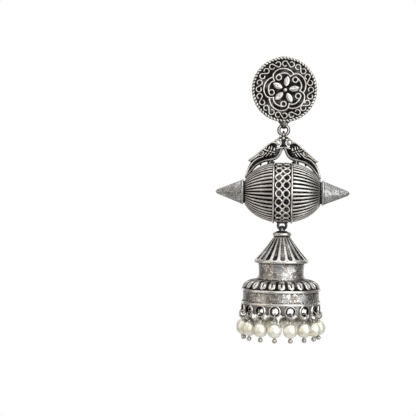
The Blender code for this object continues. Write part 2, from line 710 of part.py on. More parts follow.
def hoop(turn):
    """A ring of wire standing in the rim, seen face on from outside the bell."""
    place = bell_axis() @ Matrix.Rotation(turn, 4, "Z") @ at(0.0, -HOOP_CIRCLE, HOOP_Z) @ FACING_FRONT
    return torus(HOOP_HOLE + HOOP_WIRE / 2, HOOP_WIRE / 2, 10, 5, place)


def hoop_turns():
    return [HOOP_TURN + 2 * math.pi * k / HOOP_COUNT for k in range(HOOP_COUNT)]


def make_bell_skirt(parent):
    """Petalled shoulder, rim, drum, rim and hoops, open below."""
    neck = NECK_RADIUS - NECK_WALL
    sides = 2 * PETAL_COUNT
    rings = [circle(neck, SKIRT_Z, PETAL_COUNT)]
    for down, out in SHOULDER_SECTIONS:
        radius = NECK_RADIUS + out * (SHOULDER_RADIUS - NECK_RADIUS)
        ring = circle(radius, SKIRT_Z - down * SHOULDER_HEIGHT, sides)
        for i, point in enumerate(ring):
            if i % 2 and down > 0:
                point.xy *= (radius - PETAL_DEPTH) / radius
        rings.append(ring)
    for top in (UPPER_RIM_Z, LOWER_RIM_Z):
        rings.append(circle(RIM_RADIUS, top - 0.15 * RIM_HEIGHT, PETAL_COUNT))
        rings.append(circle(RIM_RADIUS, top - 0.85 * RIM_HEIGHT, PETAL_COUNT))
        rings.append(circle(DRUM_RADIUS, top - RIM_HEIGHT, PETAL_COUNT))
        if top == UPPER_RIM_Z:
            rings.append(circle(DRUM_RADIUS, LOWER_RIM_Z, PETAL_COUNT))
    inner = DRUM_RADIUS - SKIRT_WALL
    rings.append(circle(inner, SKIRT_FOOT_Z, PETAL_COUNT))
    rings.append(circle(inner, UPPER_RIM_Z, PETAL_COUNT))
    ceiling = SKIRT_Z - SKIRT_WALL
    rings.append(circle(neck + 0.55 * (inner - neck), ceiling - 0.25 * SHOULDER_HEIGHT, PETAL_COUNT))
    rings.append(circle(neck, ceiling, PETAL_COUNT))
    shell = skin(rings, closed=True, place=bell_axis())
    mesh = fuse([shell] + [hoop(turn) for turn in hoop_turns()])
    show("bell_skirt", mesh, "oxidised_silver", parent, (0.0, HANG_PLANE, BELL_HINGE_Z), 25)


def make_pearl(name, place, parent):
    top = math.sqrt(PEARL_RADIUS**2 - PEARL_BORE**2)
    start = math.asin(PEARL_BORE / PEARL_RADIUS)
    profile = [(PEARL_BORE, top)]
    for i in range(1, PEARL_BANDS):
        angle = start + (math.pi - 2 * start) * i / PEARL_BANDS
        profile.append((PEARL_RADIUS * math.sin(angle), PEARL_RADIUS * math.cos(angle)))
    profile.append((PEARL_BORE, -top))
    mesh = lathe(profile, PEARL_SIDES, turn=math.pi / PEARL_SIDES, place=place @ at(0.0, 0.0, PEARL_Z))
    show(name, mesh, "pearl", parent, smooth=80)


def make_pearl_pin(name, place, parent):
    """Wire pin: an eye through the hoop, a wrap on the pearl, the stem through it and a ball below."""
    eye = torus(PIN_EYE_HOLE + PIN_WIRE / 2, PIN_WIRE / 2, 10, 5, place @ at(0.0, 0.0, PIN_EYE_Z) @ ALONG_X)
    wire = PIN_WIRE / 2
    foot = PIN_WRAP_Z - PIN_WRAP
    profile = [(0.0, PIN_WRAP_Z), (PIN_WRAP_RADIUS, PIN_WRAP_Z - 0.2 * PIN_WRAP), (PIN_WRAP_RADIUS, foot),
               (wire, foot), (wire, PIN_BALL_Z + 0.9 * PIN_BALL), (PIN_BALL, PIN_BALL_Z),
               (0.0, PIN_BALL_Z - PIN_BALL)]
    stem = lathe(profile, 5, closed=False, place=place)
    show(name, fuse([eye, stem]), "bright_silver", parent, smooth=80)


def make_fringe(parent):
    for number, turn in enumerate(hoop_turns(), start=1):
        place = bell_axis() @ Matrix.Rotation(turn, 4, "Z") @ at(0.0, -HOOP_CIRCLE, 0.0)
        make_pearl(f"pearl_{number:02d}", place, parent)
        make_pearl_pin(f"pearl_pin_{number:02d}", place, parent)


def make_earring():
    clear_scene()
    stud = pivot("stud", (0.0, 0.0, 0.0))
    link = pivot("link", (0.0, HANG_PLANE, RING_TOP_Z))
    drop = pivot("drop", (0.0, HANG_PLANE, RING_Z))
    bell = pivot("bell", (0.0, HANG_PLANE, BELL_HINGE_Z))
    make_stud_disc(stud)
    make_ear_post(stud)
    make_ear_back(stud)
    make_jump_ring(link)
    make_crest(drop, barrel_clearance())
    make_barrel_half("barrel_left", -1, drop)
    make_barrel_half("barrel_right", 1, drop)
    make_lattice_band(drop)
    make_spike("spike_left", -1, drop)
    make_spike("spike_right", 1, drop)
    make_bell_roof(bell)
    make_bell_neck(bell)
    make_bell_skirt(bell)
    make_fringe(bell)


make_earring()
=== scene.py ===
"""Looks of the jhumka earring: cast relief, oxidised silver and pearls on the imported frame."""
import math

import bmesh
import bpy
import numpy as np
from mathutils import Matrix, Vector


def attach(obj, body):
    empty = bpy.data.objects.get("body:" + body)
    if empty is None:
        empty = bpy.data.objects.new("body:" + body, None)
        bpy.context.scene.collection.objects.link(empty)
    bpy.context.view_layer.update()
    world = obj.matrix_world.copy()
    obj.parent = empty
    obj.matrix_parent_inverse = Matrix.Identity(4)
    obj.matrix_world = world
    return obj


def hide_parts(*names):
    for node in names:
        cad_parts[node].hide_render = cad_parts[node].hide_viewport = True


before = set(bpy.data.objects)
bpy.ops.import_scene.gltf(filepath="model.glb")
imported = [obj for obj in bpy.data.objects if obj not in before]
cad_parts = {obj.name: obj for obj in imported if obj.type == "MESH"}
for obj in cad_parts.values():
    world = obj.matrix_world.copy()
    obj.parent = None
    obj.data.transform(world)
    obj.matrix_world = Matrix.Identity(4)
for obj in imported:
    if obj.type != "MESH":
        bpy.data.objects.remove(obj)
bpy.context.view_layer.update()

# Camera, in metres; FRAME_WIDTH is what the picture spans at the earring
CAMERA_DISTANCE = 0.312
CAMERA_HEIGHT = -0.04235
FRAME_WIDTH = 0.129
SENSOR = 36.0
FRAME_SHIFT = -0.1788
ROLL_DEGREES = -1.0

# Sizes and places of the frame, in millimetres
MM = 0.001
HANG = -0.45
DISC_Z = -5.7
DISC_FACE = 0.9
LOOP_Z = -16.65
RING_Z = -18.265
CREST_LOOP_Z = -19.88
CREST_HEIGHT = 17.67
BARREL_Z = -37.55
BARREL_HALF = 11.67
BAND_EYE_Z = -47.75
BELL_EYE_Z = -49.30
CAP_Z = -49.80
ROOF_Z = -51.40
NECK_Z = -59.45
NECK_FOOT_Z = -64.30
SKIRT_Z = -64.40
UPPER_RIM_Z = -67.10
LOWER_RIM_Z = -70.98
SKIRT_FOOT_Z = -71.91
HOOP_Z = -73.31
HOOP_CIRCLE = 11.75
PIN_EYE_Z = -75.09
PIN_WRAP_Z = -76.22
PEARL_Z = -79.05
PIN_BALL_Z = -82.05
DISC_REACH = 9.15
BARREL_RADIUS = 9.5
BAND_RADIUS = 8.86
ROOF_TOP_RADIUS = 2.66
ROOF_RADIUS = 8.40
ROOF_FALL = 7.2
NECK_RADIUS = 7.14
SHOULDER_TOP_RADIUS = 7.15
SHOULDER_RADIUS = 12.0
DRUM_RADIUS = 11.75

# How often each pattern repeats round its piece
STRANDS, SCROLLS, LOBES = 60, 12, 5
RIBS, BAND_ROWS = 44, 22
FLUTES, PETALS, HOOPS = 20, 24, 16
HOOP_TURNS = [math.radians(-8.3) + 2 * math.pi * k / HOOPS for k in range(HOOPS)]


# Mesh parts: points, quads and the polish of each point, from 0 in a black recess to 1 on a bright crown; on
# some wires it is a painted highlight and painted shade instead.
# Values past that range leave less of it to the noise of the material.

def smooth_step(low, high, value):
    share = np.clip((value - low) / (high - low), 0.0, 1.0)
    return share * share * (3.0 - 2.0 * share)


def dome(value):
    """A half circle: 1 in the middle and 0 from -1 and 1 outwards."""
    return np.sqrt(np.clip(1.0 - value**2, 0.0, 1.0))


def turns(count):
    """Even steps round a full turn."""
    return np.linspace(0.0, 2 * np.pi, count, endpoint=False)


def squares(index):
    """The quads between rows and columns of point numbers."""
    return np.stack([index[:-1, :-1], index[:-1, 1:], index[1:, 1:], index[1:, :-1]], axis=-1).reshape(-1, 4)


def weave(points, polish_and_light=1.0, rows_closed=False):
    """A shell over rows of points, each row closed to a ring."""
    rows, columns = points.shape[:2]
    index = np.arange(rows * columns).reshape(rows, columns)
    if rows_closed:
        index = np.vstack([index, index[:1]])
    quads = squares(np.hstack([index, index[:, :1]]))
    marks = np.broadcast_to(np.asarray(polish_and_light, dtype=float), (rows, columns)).reshape(-1).copy()
    return outward(points.reshape(-1, 3), quads, marks)


def outward(points, quads, marks):
    """Turns the faces over where the shell would be inside out."""
    middle = points.mean(axis=0)
    corners = points[quads] - middle
    volume = np.einsum("ij,ij->i", corners[:, 0], np.cross(corners[:, 1], corners[:, 2])).sum()
    volume += np.einsum("ij,ij->i", corners[:, 0], np.cross(corners[:, 2], corners[:, 3])).sum()
    if volume < 0:
        quads = quads[:, ::-1]
    return points, quads, marks


def disc_place(radius, angle, height):
    return np.stack([radius * np.sin(angle), -height, DISC_Z + radius * np.cos(angle)], axis=-1)


def barrel_place(radius, angle, across):
    return np.stack([across, HANG - radius * np.cos(angle), BARREL_Z + radius * np.sin(angle)], axis=-1)


def bell_place(radius, angle, height):
    return np.stack([radius * np.sin(angle), HANG - radius * np.cos(angle), height], axis=-1)


def turned(profile, place, sides=144, polish_and_light=1.0, closed=True, start=0.0):
    """A turned shell from (radius, height above start) points, with a polish each where a third is given."""
    table = np.array([(*row, polish_and_light)[:3] for row in profile], dtype=float)
    radius, turn = np.meshgrid(table[:, 0], turns(sides), indexing="ij")
    height = np.broadcast_to(table[:, 1:2] + start, radius.shape)
    return weave(place(radius, turn, height), table[:, 2:3], rows_closed=closed)


def shell(points, polish_and_light, profile, place, angle, closed=True):
    """A patterned face that goes on as plain circles of (radius, height, polish)."""
    rows, marks = [points], [polish_and_light]
    for reach, at, shine in profile:
        rows.append(place(reach + 0 * angle, angle, at + 0 * angle))
        marks.append(shine + 0 * angle)
    return weave(np.concatenate(rows), np.concatenate(marks), rows_closed=closed)


def smooth_path(points, steps=8, closed=False):
    """A curve through the points, without corners."""
    points = np.asarray(points, dtype=float)
    if closed:
        ringed = np.vstack([points[-1:], points, points[:2]])
    else:
        ringed = np.vstack([2 * points[0] - points[1], points, 2 * points[-1] - points[-2]])
    share = np.linspace(0.0, 1.0, steps, endpoint=False)[:, None]
    path = []
    for a, b, c, d in zip(ringed, ringed[1:], ringed[2:], ringed[3:]):
        path.append(0.5 * (2 * b + (c - a) * share + (2 * a - 5 * b + 4 * c - d) * share**2
                           + (3 * b - a - 3 * c + d) * share**3))
    if not closed:
        path.append(points[-1:])
    return np.vstack(path)


def tube(path, radius, sides=12, closed=False, polish_and_light=1.0, up=(0.0, 1.0, 0.0), flat=1.0, highlight_round=None):
    """A wire along a path, with rounded open ends. A radius of two values tapers from one to the other.

    flat stretches the wire along the up direction; the last argument gives, by the turn round the wire, a
    painted highlight and painted shade.
    """
    path = np.asarray(path, dtype=float)
    if isinstance(radius, tuple):
        radius = np.linspace(*radius, len(path))
    radius = np.broadcast_to(np.asarray(radius, dtype=float), (len(path),)).copy()
    if closed:
        ahead = np.roll(path, -1, axis=0) - np.roll(path, 1, axis=0)
    else:
        ahead = np.gradient(path, axis=0)
    ahead /= np.linalg.norm(ahead, axis=1, keepdims=True)
    if not closed:
        ends = np.radians([80.0, 55.0, 28.0])
        first = [path[0] - ahead[0] * radius[0] * math.sin(a) for a in ends]
        last = [path[-1] + ahead[-1] * radius[-1] * math.sin(a) for a in ends[::-1]]
        start = [radius[0] * math.cos(a) for a in ends]
        finish = [radius[-1] * math.cos(a) for a in ends[::-1]]
        path = np.vstack([first, path, last])
        ahead = np.vstack([[ahead[0]] * 3, ahead, [ahead[-1]] * 3])
        radius = np.concatenate([start, radius, finish])
    across = np.cross(ahead, np.asarray(up, dtype=float))
    across /= np.linalg.norm(across, axis=1, keepdims=True)
    above = np.cross(across, ahead)
    turn = turns(sides)
    circle = (np.cos(turn)[None, :, None] * across[:, None, :]
              + flat * np.sin(turn)[None, :, None] * above[:, None, :])
    points = path[:, None, :] + radius[:, None, None] * circle
    marks = polish_and_light
    if highlight_round is not None:
        marks = np.broadcast_to(highlight_round(turn)[None, :], (len(path), sides))
    made = weave(points, marks, rows_closed=closed)
    if closed:
        return made
    return capped(made, len(path), sides)


def capped(part, rows, columns):
    """Closes both open ends of a woven tube with a fan of quads round one middle point each."""
    points, quads, marks = part
    ends = []
    for first in (0, (rows - 1) * columns):
        rim = np.arange(first, first + columns)
        middle = len(points)
        points = np.vstack([points, points[rim].mean(axis=0, keepdims=True)])
        marks = np.append(marks, marks[rim].mean())
        for i in range(0, columns - 1, 2):
            ends.append([middle, rim[i], rim[i + 1], rim[(i + 2) % columns]])
    return points, np.vstack([quads, np.array(ends)]), marks


def ring(centre, normal, major, minor, segments=48, sides=14, polish_and_light=1.0, highlight_round=None):
    """A ring of round wire."""
    normal = Vector(normal).normalized()
    first = normal.orthogonal().normalized()
    if abs(normal.z) < 0.99:
        first = Vector((0, 0, 1)).cross(normal).normalized()
    second = normal.cross(first)
    turn = turns(segments)
    path = (np.asarray(centre)[None, :] + major * np.cos(turn)[:, None] * np.array(first)[None, :]
            + major * np.sin(turn)[:, None] * np.array(second)[None, :])
    return tube(path, minor, sides, closed=True, polish_and_light=polish_and_light, up=tuple(normal), highlight_round=highlight_round)


# Painted light round a wire: the first three paint a highlight along its front and back and shade on its
# sides; the last paints a highlight everywhere but along the hole of its ring, and shade along the hole.

def face_highlight(turn):
    return 0.05 + 0.55 * smooth_step(0.78, 0.99, np.abs(np.sin(turn)))


def edge_highlight(turn):
    return 0.02 + 0.80 * smooth_step(0.84, 0.97, np.abs(np.sin(turn)))


def broad_highlight(turn):
    return 0.10 + 0.85 * smooth_step(0.6, 0.9, np.abs(np.sin(turn)))


def outside_highlight(turn):
    return 0.05 + 0.85 * smooth_step(-0.15, 0.55, np.cos(turn))


def bead(centre, size, columns=20, rows=12, polish_and_light=1.0):
    """A round or oval bead; size is a radius or three half sizes."""
    size = np.broadcast_to(np.asarray(size, dtype=float), (3,))
    down = np.linspace(0.0, np.pi, rows + 1)[:, None]
    turn = turns(columns)[None, :]
    points = np.stack([np.sin(down) * np.cos(turn), np.sin(down) * np.sin(turn),
                       np.cos(down) + 0 * turn], axis=-1)
    return weave(points * size + np.asarray(centre, dtype=float), polish_and_light)


def join(parts):
    points, quads, marks, count = [], [], [], 0
    for some_points, some_quads, some_marks in parts:
        points.append(some_points)
        quads.append(some_quads + count)
        marks.append(some_marks)
        count += len(some_points)
    return np.vstack(points), np.vstack(quads), np.concatenate(marks)


def piece(name, parts, body, look, nodes, sharp=50):
    """A shown piece from mesh parts in millimetres, on a body and in place of its CAD nodes."""
    points, quads, marks = join(parts)
    mesh = bpy.data.meshes.new(name)
    mesh.vertices.add(len(points))
    mesh.vertices.foreach_set("co", (points * MM).astype(np.float32).ravel())
    mesh.loops.add(quads.size)
    mesh.loops.foreach_set("vertex_index", quads.astype(np.int32).ravel())
    mesh.polygons.add(len(quads))
    mesh.polygons.foreach_set("loop_start", np.arange(0, quads.size, 4, dtype=np.int32))
    mesh.update(calc_edges=True)
    mesh.attributes.new("polish_and_light", "FLOAT", "POINT").data.foreach_set("value", marks.astype(np.float32))
    merged = bmesh.new()
    merged.from_mesh(mesh)
    bmesh.ops.remove_doubles(merged, verts=merged.verts, dist=2e-7)
    merged.to_mesh(mesh)
    merged.free()
    mesh.shade_smooth()
    mesh.set_sharp_from_angle(angle=math.radians(sharp))
    mesh.materials.append(look)
    made = bpy.data.objects.new(name, mesh)
    bpy.context.scene.collection.objects.link(made)
    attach(made, body)
    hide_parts(*nodes)


# Materials

def fill(tree, node, values):
    """Sets a node's inputs: a socket is linked, anything else is a constant."""
    for key, value in values.items():
        if isinstance(value, bpy.types.NodeSocket):
            tree.links.new(value, node.inputs[key])
        else:
            node.inputs[key].default_value = value


def add(tree, kind, values=None, **settings):
    node = tree.nodes.new(kind)
    for key, value in settings.items():
        setattr(node, key, value)
    fill(tree, node, values or {})
    return node


def noise(tree, place, scale, detail=3.0, roughness=0.55):
    values = {"Vector": place, "Scale": scale, "Detail": detail, "Roughness": roughness}
    return add(tree, "ShaderNodeTexNoise", values).outputs["Fac"]


def math_node(tree, operation, first, second=None, clamp=False):
    values = {0: first} if second is None else {0: first, 1: second}
    return add(tree, "ShaderNodeMath", values, operation=operation, use_clamp=clamp).outputs[0]


def span(tree, value, low, high, out_low, out_high, kind="SMOOTHSTEP"):
    values = {"Value": value, "From Min": low, "From Max": high, "To Min": out_low, "To Max": out_high}
    return add(tree, "ShaderNodeMapRange", values, interpolation_type=kind).outputs["Result"]


def mix(tree, share, first, second):
    """A mix of two colours, each a socket or a constant."""
    first, second = ((*tone, 1.0) if isinstance(tone, tuple) else tone for tone in (first, second))
    return add(tree, "ShaderNodeMix", {0: share, 6: first, 7: second}, data_type="RGBA").outputs[2]


def swayed(tree, base, wave, amount, clamp=False):
    """A value that a noise moves up and down."""
    centred = math_node(tree, "SUBTRACT", wave, 0.5)
    return math_node(tree, "ADD", base, math_node(tree, "MULTIPLY", centred, amount), clamp=clamp)


def new_material(name, values):
    """A material, its tree and its shader, with the shader's constant values set."""
    made = bpy.data.materials.new(name)
    made.use_nodes = True
    tree = made.node_tree
    shader = tree.nodes["Principled BSDF"]
    fill(tree, shader, values)
    return made, tree, shader


def bumped(tree, height, strength, distance):
    values = {"Strength": strength, "Distance": distance, "Height": height}
    return add(tree, "ShaderNodeBump", values).outputs["Normal"]


def silver(name, light, tarnish, black, rough, grain, bump, spread=0.22, specks=0.0):
    """Oxidised silver: black in the recesses, worn bright on the crowns, with scratches and cast grain; on
    some wires the same mark paints highlights and shade.
    """
    made, tree, shader = new_material(name, {"Metallic": 1.0})
    place = add(tree, "ShaderNodeTexCoord").outputs["Object"]
    stretched = add(tree, "ShaderNodeMapping", {
        "Vector": place, "Scale": (260.0, 900.0, 5200.0), "Rotation": (0.3, 0.5, 0.2)})
    # The mark read here is the polish of recesses and crowns, and on some wires a painted highlight and
    # painted shade.
    height = add(tree, "ShaderNodeAttribute", attribute_name="polish_and_light").outputs["Fac"]
    patch = noise(tree, place, 330.0, 4.0, 0.6)
    fine = noise(tree, place, 2600.0, 3.0, 0.6)
    scratch = noise(tree, stretched.outputs["Vector"], 1.0, 3.0, 0.7)
    wear_and_light = swayed(tree, swayed(tree, height, patch, spread), fine, grain)
    wear_and_light = span(tree, wear_and_light, 0.12, 0.78, 0.0, 1.0)
    tone = mix(tree, span(tree, patch, 0.36, 0.66, 0.0, 1.0), tarnish, light)
    tone = mix(tree, span(tree, scratch, 0.30, 0.62, 0.0, 1.0), tuple(0.72 * c for c in tarnish), tone)
    ground = mix(tree, span(tree, patch, 0.48, 0.68, 0.0, 1.0), black, tuple(0.09 + 1.5 * c for c in black))
    colour = mix(tree, wear_and_light, ground, tone)
    if specks:
        spot = span(tree, noise(tree, place, 1700.0, 2.0, 0.5), 0.575, 0.675, 0.0, specks)
        colour = mix(tree, spot, colour, (0.92, 0.92, 0.93))
    roughness = swayed(tree, span(tree, wear_and_light, 0.0, 1.0, *rough, "LINEAR"), fine, 0.22, clamp=True)
    relief = math_node(tree, "ADD", math_node(tree, "MULTIPLY", fine, 0.7),
                       math_node(tree, "MULTIPLY", scratch, 0.5))
    relief = math_node(tree, "ADD", relief, math_node(tree, "MULTIPLY", patch, 0.8))
    fill(tree, shader, {"Base Color": colour, "Roughness": roughness,
                        "Normal": bumped(tree, relief, 0.6, bump)})
    return made


def pearl_coat(name):
    """Pearly glass: cream with a slow change of tone, under a glossy coat."""
    made, tree, shader = new_material(name, {
        "Metallic": 0.55, "Roughness": 0.36, "Specular IOR Level": 0.6,
        "Coat Weight": 0.5, "Coat Roughness": 0.16,
        "Subsurface Weight": 0.08, "Subsurface Radius": (1.0, 0.8, 0.45), "Subsurface Scale": 0.0007})
    place = add(tree, "ShaderNodeTexCoord").outputs["Object"]
    slow = noise(tree, place, 260.0, 2.0, 0.5)
    fine = noise(tree, place, 2200.0, 3.0, 0.6)
    tone = mix(tree, span(tree, slow, 0.35, 0.65, 0.0, 1.0), (0.77, 0.73, 0.57), (0.88, 0.86, 0.78))
    tone = mix(tree, span(tree, fine, 0.40, 0.70, 0.0, 0.22), tone, (0.91, 0.89, 0.82))
    fill(tree, shader, {"Base Color": tone, "Normal": bumped(tree, fine, 0.25, 0.00001)})
    return made


CAST = silver("cast_silver", light=(0.92, 0.90, 0.87), tarnish=(0.62, 0.59, 0.55),
              black=(0.012, 0.011, 0.011), rough=(0.46, 0.20), grain=0.25, bump=0.000012)
RIBBED = silver("ribbed_silver", light=(0.80, 0.775, 0.75), tarnish=(0.56, 0.53, 0.50),
                black=(0.008, 0.008, 0.008), rough=(0.42, 0.26), grain=0.08, bump=0.000008, spread=0.12)
SATIN = silver("satin_silver", light=(0.84, 0.83, 0.82), tarnish=(0.60, 0.59, 0.58),
               black=(0.07, 0.07, 0.07), rough=(0.50, 0.34), grain=1.3, bump=0.00002, spread=0.25)
WORN = silver("worn_silver", light=(0.62, 0.62, 0.625), tarnish=(0.25, 0.215, 0.18),
              black=(0.025, 0.022, 0.02), rough=(0.50, 0.34), grain=1.3, bump=0.00003,
              spread=0.75, specks=0.95)
BRIGHT = silver("bright_silver", light=(0.90, 0.87, 0.83), tarnish=(0.60, 0.55, 0.49),
                black=(0.03, 0.028, 0.026), rough=(0.42, 0.20), grain=0.2, bump=0.000006)
FLUTED = silver("fluted_silver", light=(0.92, 0.90, 0.87), tarnish=(0.60, 0.57, 0.52),
                black=(0.011, 0.012, 0.019), rough=(0.46, 0.22), grain=0.35, bump=0.000014)
PEARL = pearl_coat("pearl_coat")


# Stud

def polar(radius, degrees):
    turn = np.radians(degrees)
    return np.stack([radius * np.sin(turn), radius * np.cos(turn)], axis=-1)


def scroll(turn):
    """An S scroll of the border: two open curls and the slanting bar between them."""
    share = np.linspace(0.0, 1.0, 22)
    angle = np.radians(240 + 250 * share)
    radius = 0.82 * (1.0 - 0.10 * smooth_step(0.7, 1.0, share))
    curl = np.stack([1.0 + radius * np.cos(angle), radius * np.sin(angle)], axis=-1)
    local = np.vstack([-curl[::-1], curl])
    circle = 8.0
    centre = polar(circle, turn)
    across = np.array([math.cos(math.radians(turn)), -math.sin(math.radians(turn))])
    return centre + local[:, :1] * across + local[:, 1:] * centre / circle


# The swirl's lobes: degrees from the middle of a lobe, and shares of their reach
LOBE_REACH = 6.68
LOBE_OUTER = ((-50, 0.655), (-44, 0.80), (-35, 0.93), (-18, 1.0), (0, 0.99), (15, 0.925), (27, 0.845))
LOBE_INNER = ((-34, 0.745), (-27, 0.775), (-17, 0.785), (-3, 0.785), (10, 0.75), (22, 0.67))

# The cast pattern stands a little off the middle of the plate, and the flower a little more
BORDER_OFFSET = np.array((0.12, -0.06))
FLOWER_OFFSET = np.array((0.20, -0.10))


def distance_to(points, path, closed=False):
    """Distance of each point from a drawn line."""
    near = np.full(len(points), 1e9)
    ends = np.roll(path, -1, axis=0) if closed else path[1:]
    for a, b in zip(path, ends):
        along = b - a
        share = np.clip(((points - a) @ along) / max(along @ along, 1e-12), 0.0, 1.0)
        gap = points - a - share[:, None] * along
        near = np.minimum(near, np.einsum("ij,ij->i", gap, gap))
    return np.sqrt(near)


def wire_height(distance, half, foot, crown):
    """Height of a half-sunk wire at a distance from its middle line."""
    return np.where(distance < half, foot + (crown - foot) * dome(distance / half), 0.0)


def disc_relief(points):
    """Height and polish of the stud's face."""
    height = np.zeros(len(points))
    points = points - BORDER_OFFSET
    reach = np.hypot(points[:, 0], points[:, 1])
    outer = reach > 6.6
    some = points[outer]
    lines = np.full(len(some), 1e9)
    for k in range(SCROLLS):
        lines = np.minimum(lines, distance_to(some, scroll(7 + 360 / SCROLLS * k)))
    height[outer] = wire_height(lines, half=0.23, foot=0.12, crown=0.42)
    inner = reach < 7.2
    some = points[inner] - FLOWER_OFFSET
    lines = np.full(len(some), 1e9)
    for k in range(LOBES):
        middle = -2 + 360 / LOBES * k
        for table in (LOBE_OUTER, LOBE_INNER):
            path = smooth_path([polar(share * LOBE_REACH, middle + angle) for angle, share in table], 6)
            lines = np.minimum(lines, distance_to(some, path))
        centre = polar(0.655 * LOBE_REACH, middle - 27)
        lines = np.minimum(lines, np.abs(np.hypot(*(some - centre).T) - 0.80))
    relief = wire_height(lines, half=0.245, foot=0.14, crown=0.42)
    shine = 1.2 * smooth_step(0.10, 0.32, relief)
    for k in range(LOBES):
        degrees = 8.6 + 360 / LOBES * k
        turn = math.radians(degrees)
        centre = polar(2.55, degrees)
        out = np.array([math.sin(turn), math.cos(turn)])
        side = np.array([math.cos(turn), -math.sin(turn)])
        along = (some - centre) @ out / 1.55
        across = (some - centre) @ side
        wide = 0.93 * np.clip(1.0 - np.abs(along - 0.10) ** 2.3 / 1.15, 0.0, 1.0) ** 0.75
        share = np.abs(across) / np.maximum(wide, 1e-6)
        petal = np.where(share < 1.0, 0.22 + 0.44 * dome(share), 0.0)
        slot = np.exp(-((across + 0.08) / 0.12) ** 2 - ((along - 0.25) / 0.30) ** 2)
        petal = np.where(petal > 0.0, petal - 0.12 * slot, petal)
        shine = np.maximum(shine, np.where(petal > 0.05, 1.3 * np.clip(1.0 - 0.65 * slot, 0.0, 1.0), 0.0))
        relief = np.maximum(relief, petal)
    middle = np.hypot(*some.T)
    knob = np.where(middle < 0.66, 0.15 + np.sqrt(np.clip(0.66**2 - middle**2, 0.0, 1.0)), 0.0)
    relief = np.maximum(relief, knob)
    shine = np.maximum(shine, smooth_step(0.2, 0.45, knob))
    height[inner] = np.maximum(height[inner], relief)
    polish_and_light = smooth_step(0.10, 0.32, height)
    polish_and_light[inner] = np.where(relief >= height[inner] - 1e-9, shine, polish_and_light[inner])
    return height, polish_and_light


def disc_face():
    """The front face, as a fine grid of heights."""
    pitch = 0.078
    count = int(DISC_REACH / pitch)
    line = np.arange(-count, count + 1) * pitch
    u, v = np.meshgrid(line, line, indexing="xy")
    flat = np.stack([u.ravel(), v.ravel()], axis=-1)
    height, polish_and_light = disc_relief(flat)
    points = np.stack([flat[:, 0], -DISC_FACE - height, DISC_Z + flat[:, 1]], axis=-1)
    size = len(line)
    quads = squares(np.arange(size * size).reshape(size, size))
    reach = np.hypot(flat[:, 0], flat[:, 1])
    quads = quads[(reach[quads] < DISC_REACH).all(axis=1)]
    used = np.zeros(len(points), dtype=bool)
    used[quads.ravel()] = True
    renumber = np.cumsum(used) - 1
    return points[used], renumber[quads], polish_and_light[used]


def rope():
    """The twisted border of slanted strands."""
    along = turns(STRANDS * 14)[None, :]
    around = turns(20)[:, None]
    phase = (STRANDS * along - 2 * around) / (2 * np.pi)
    side = 2 * (phase - np.floor(phase)) - 1
    crown = dome(side)
    radius = 0.26 + 0.29 * crown
    points = disc_place(9.59 + radius * np.cos(around), along + 0 * around,
                        DISC_FACE + radius * np.sin(around))
    facing = smooth_step(-0.6, 0.1, np.sin(around)) * smooth_step(-0.65, -0.15, np.cos(around))
    return weave(points, 1.1 * smooth_step(0.66, 0.94, crown) * (0.1 + 0.9 * facing), rows_closed=True)


def post_place(radius, angle, height):
    return np.stack([radius * np.sin(angle), height, radius * np.cos(angle)], axis=-1)


def stud():
    plate = [(0.01, 0.02, 0.40), (9.2, 0.02, 0.40), (9.75, 0.05, 0.45), (9.9, 0.2, 0.5), (9.92, 0.7, 0.2),
             (9.4, 0.86, 0.0), (0.01, 0.86, 0.0)]
    disc = [disc_face(), rope(), turned(plate, disc_place, 192)]
    strap = ring((0.0, HANG, LOOP_Z), (1, 0, 0), 0.95, 0.25, 40, 14)
    strap[0][:, 0] *= 2.8 + 2.2 * smooth_step(-17.3, -16.3, strap[0][:, 2])
    strap[2][:] = 0.10 + 0.22 * np.cos(7.0 * strap[0][:, 0]) ** 2
    disc.append(strap)
    for side in (-1, 1):
        path = smooth_path([(side * 1.5, HANG - 0.1, -15.5), (side * 1.25, HANG - 0.1, -15.8),
                            (side * 1.02, HANG, -16.2), (side * 0.95, HANG, -16.6)], 5)
        disc.append(tube(path, (0.40, 0.22), 10, polish_and_light=0.16))
    piece("stud_disc_cast", disc, "stud", CAST, ["stud_disc"], 60)
    post = [(0.005, 0.1), (1.4, 0.1), (1.5, 0.2), (1.5, 0.5), (1.4, 0.6), (0.55, 0.62), (0.45, 0.75),
            (0.45, 9.8), (0.4, 10.0), (0.25, 10.25), (0.005, 10.3)]
    pin = turned(post, post_place, 40, 0.9, closed=False)
    piece("ear_post_pin", [pin], "stud", BRIGHT, ["ear_post"], 40)
    nut = [(0.55, 5.2), (5.4, 5.2), (5.57, 5.28), (5.6, 5.45), (5.57, 5.75), (5.4, 5.88), (2.2, 5.9),
           (1.72, 6.0), (1.6, 6.2), (1.6, 7.5), (1.45, 7.68), (0.75, 7.7), (0.55, 7.6)]
    piece("ear_nut", [turned(nut, post_place, 96, 0.85)], "stud", BRIGHT, ["ear_back"], 35)


# Crest

def crest_place(across, up, side, depth=0.0):
    return np.array([side * across * BARREL_HALF, HANG - depth, BARREL_Z + up * CREST_HEIGHT])


def crest_path(table, side, depth=0.0, steps=8):
    return smooth_path([crest_place(across, up, side, depth) for across, up in table], steps)


def lens(upper, lower, side, half, marks, rows, columns):
    """A domed plate between two edges; marks(along, across) is its polish."""
    share = np.linspace(0.0, 1.0, rows)
    rails = []
    for table in (upper, lower):
        path = crest_path(table, side, steps=12)
        gone = np.concatenate([[0.0], np.cumsum(np.linalg.norm(np.diff(path, axis=0), axis=1))])
        rails.append(np.stack([np.interp(share, gone / gone[-1], path[:, i]) for i in range(3)], axis=-1))
    middle = (rails[0] + rails[1]) / 2
    reach = (rails[0] - rails[1]) / 2
    turn = turns(columns)
    across = np.cos(turn)
    shape = np.sign(np.sin(turn)) * np.abs(np.sin(turn)) ** 0.45
    points = middle[:, None, :] + across[None, :, None] * reach[:, None, :]
    along, wide = np.meshgrid(share, across, indexing="ij")
    points[:, :, 1] -= shape[None, :] * half
    return capped(weave(points, marks(along, wide)), rows, columns)


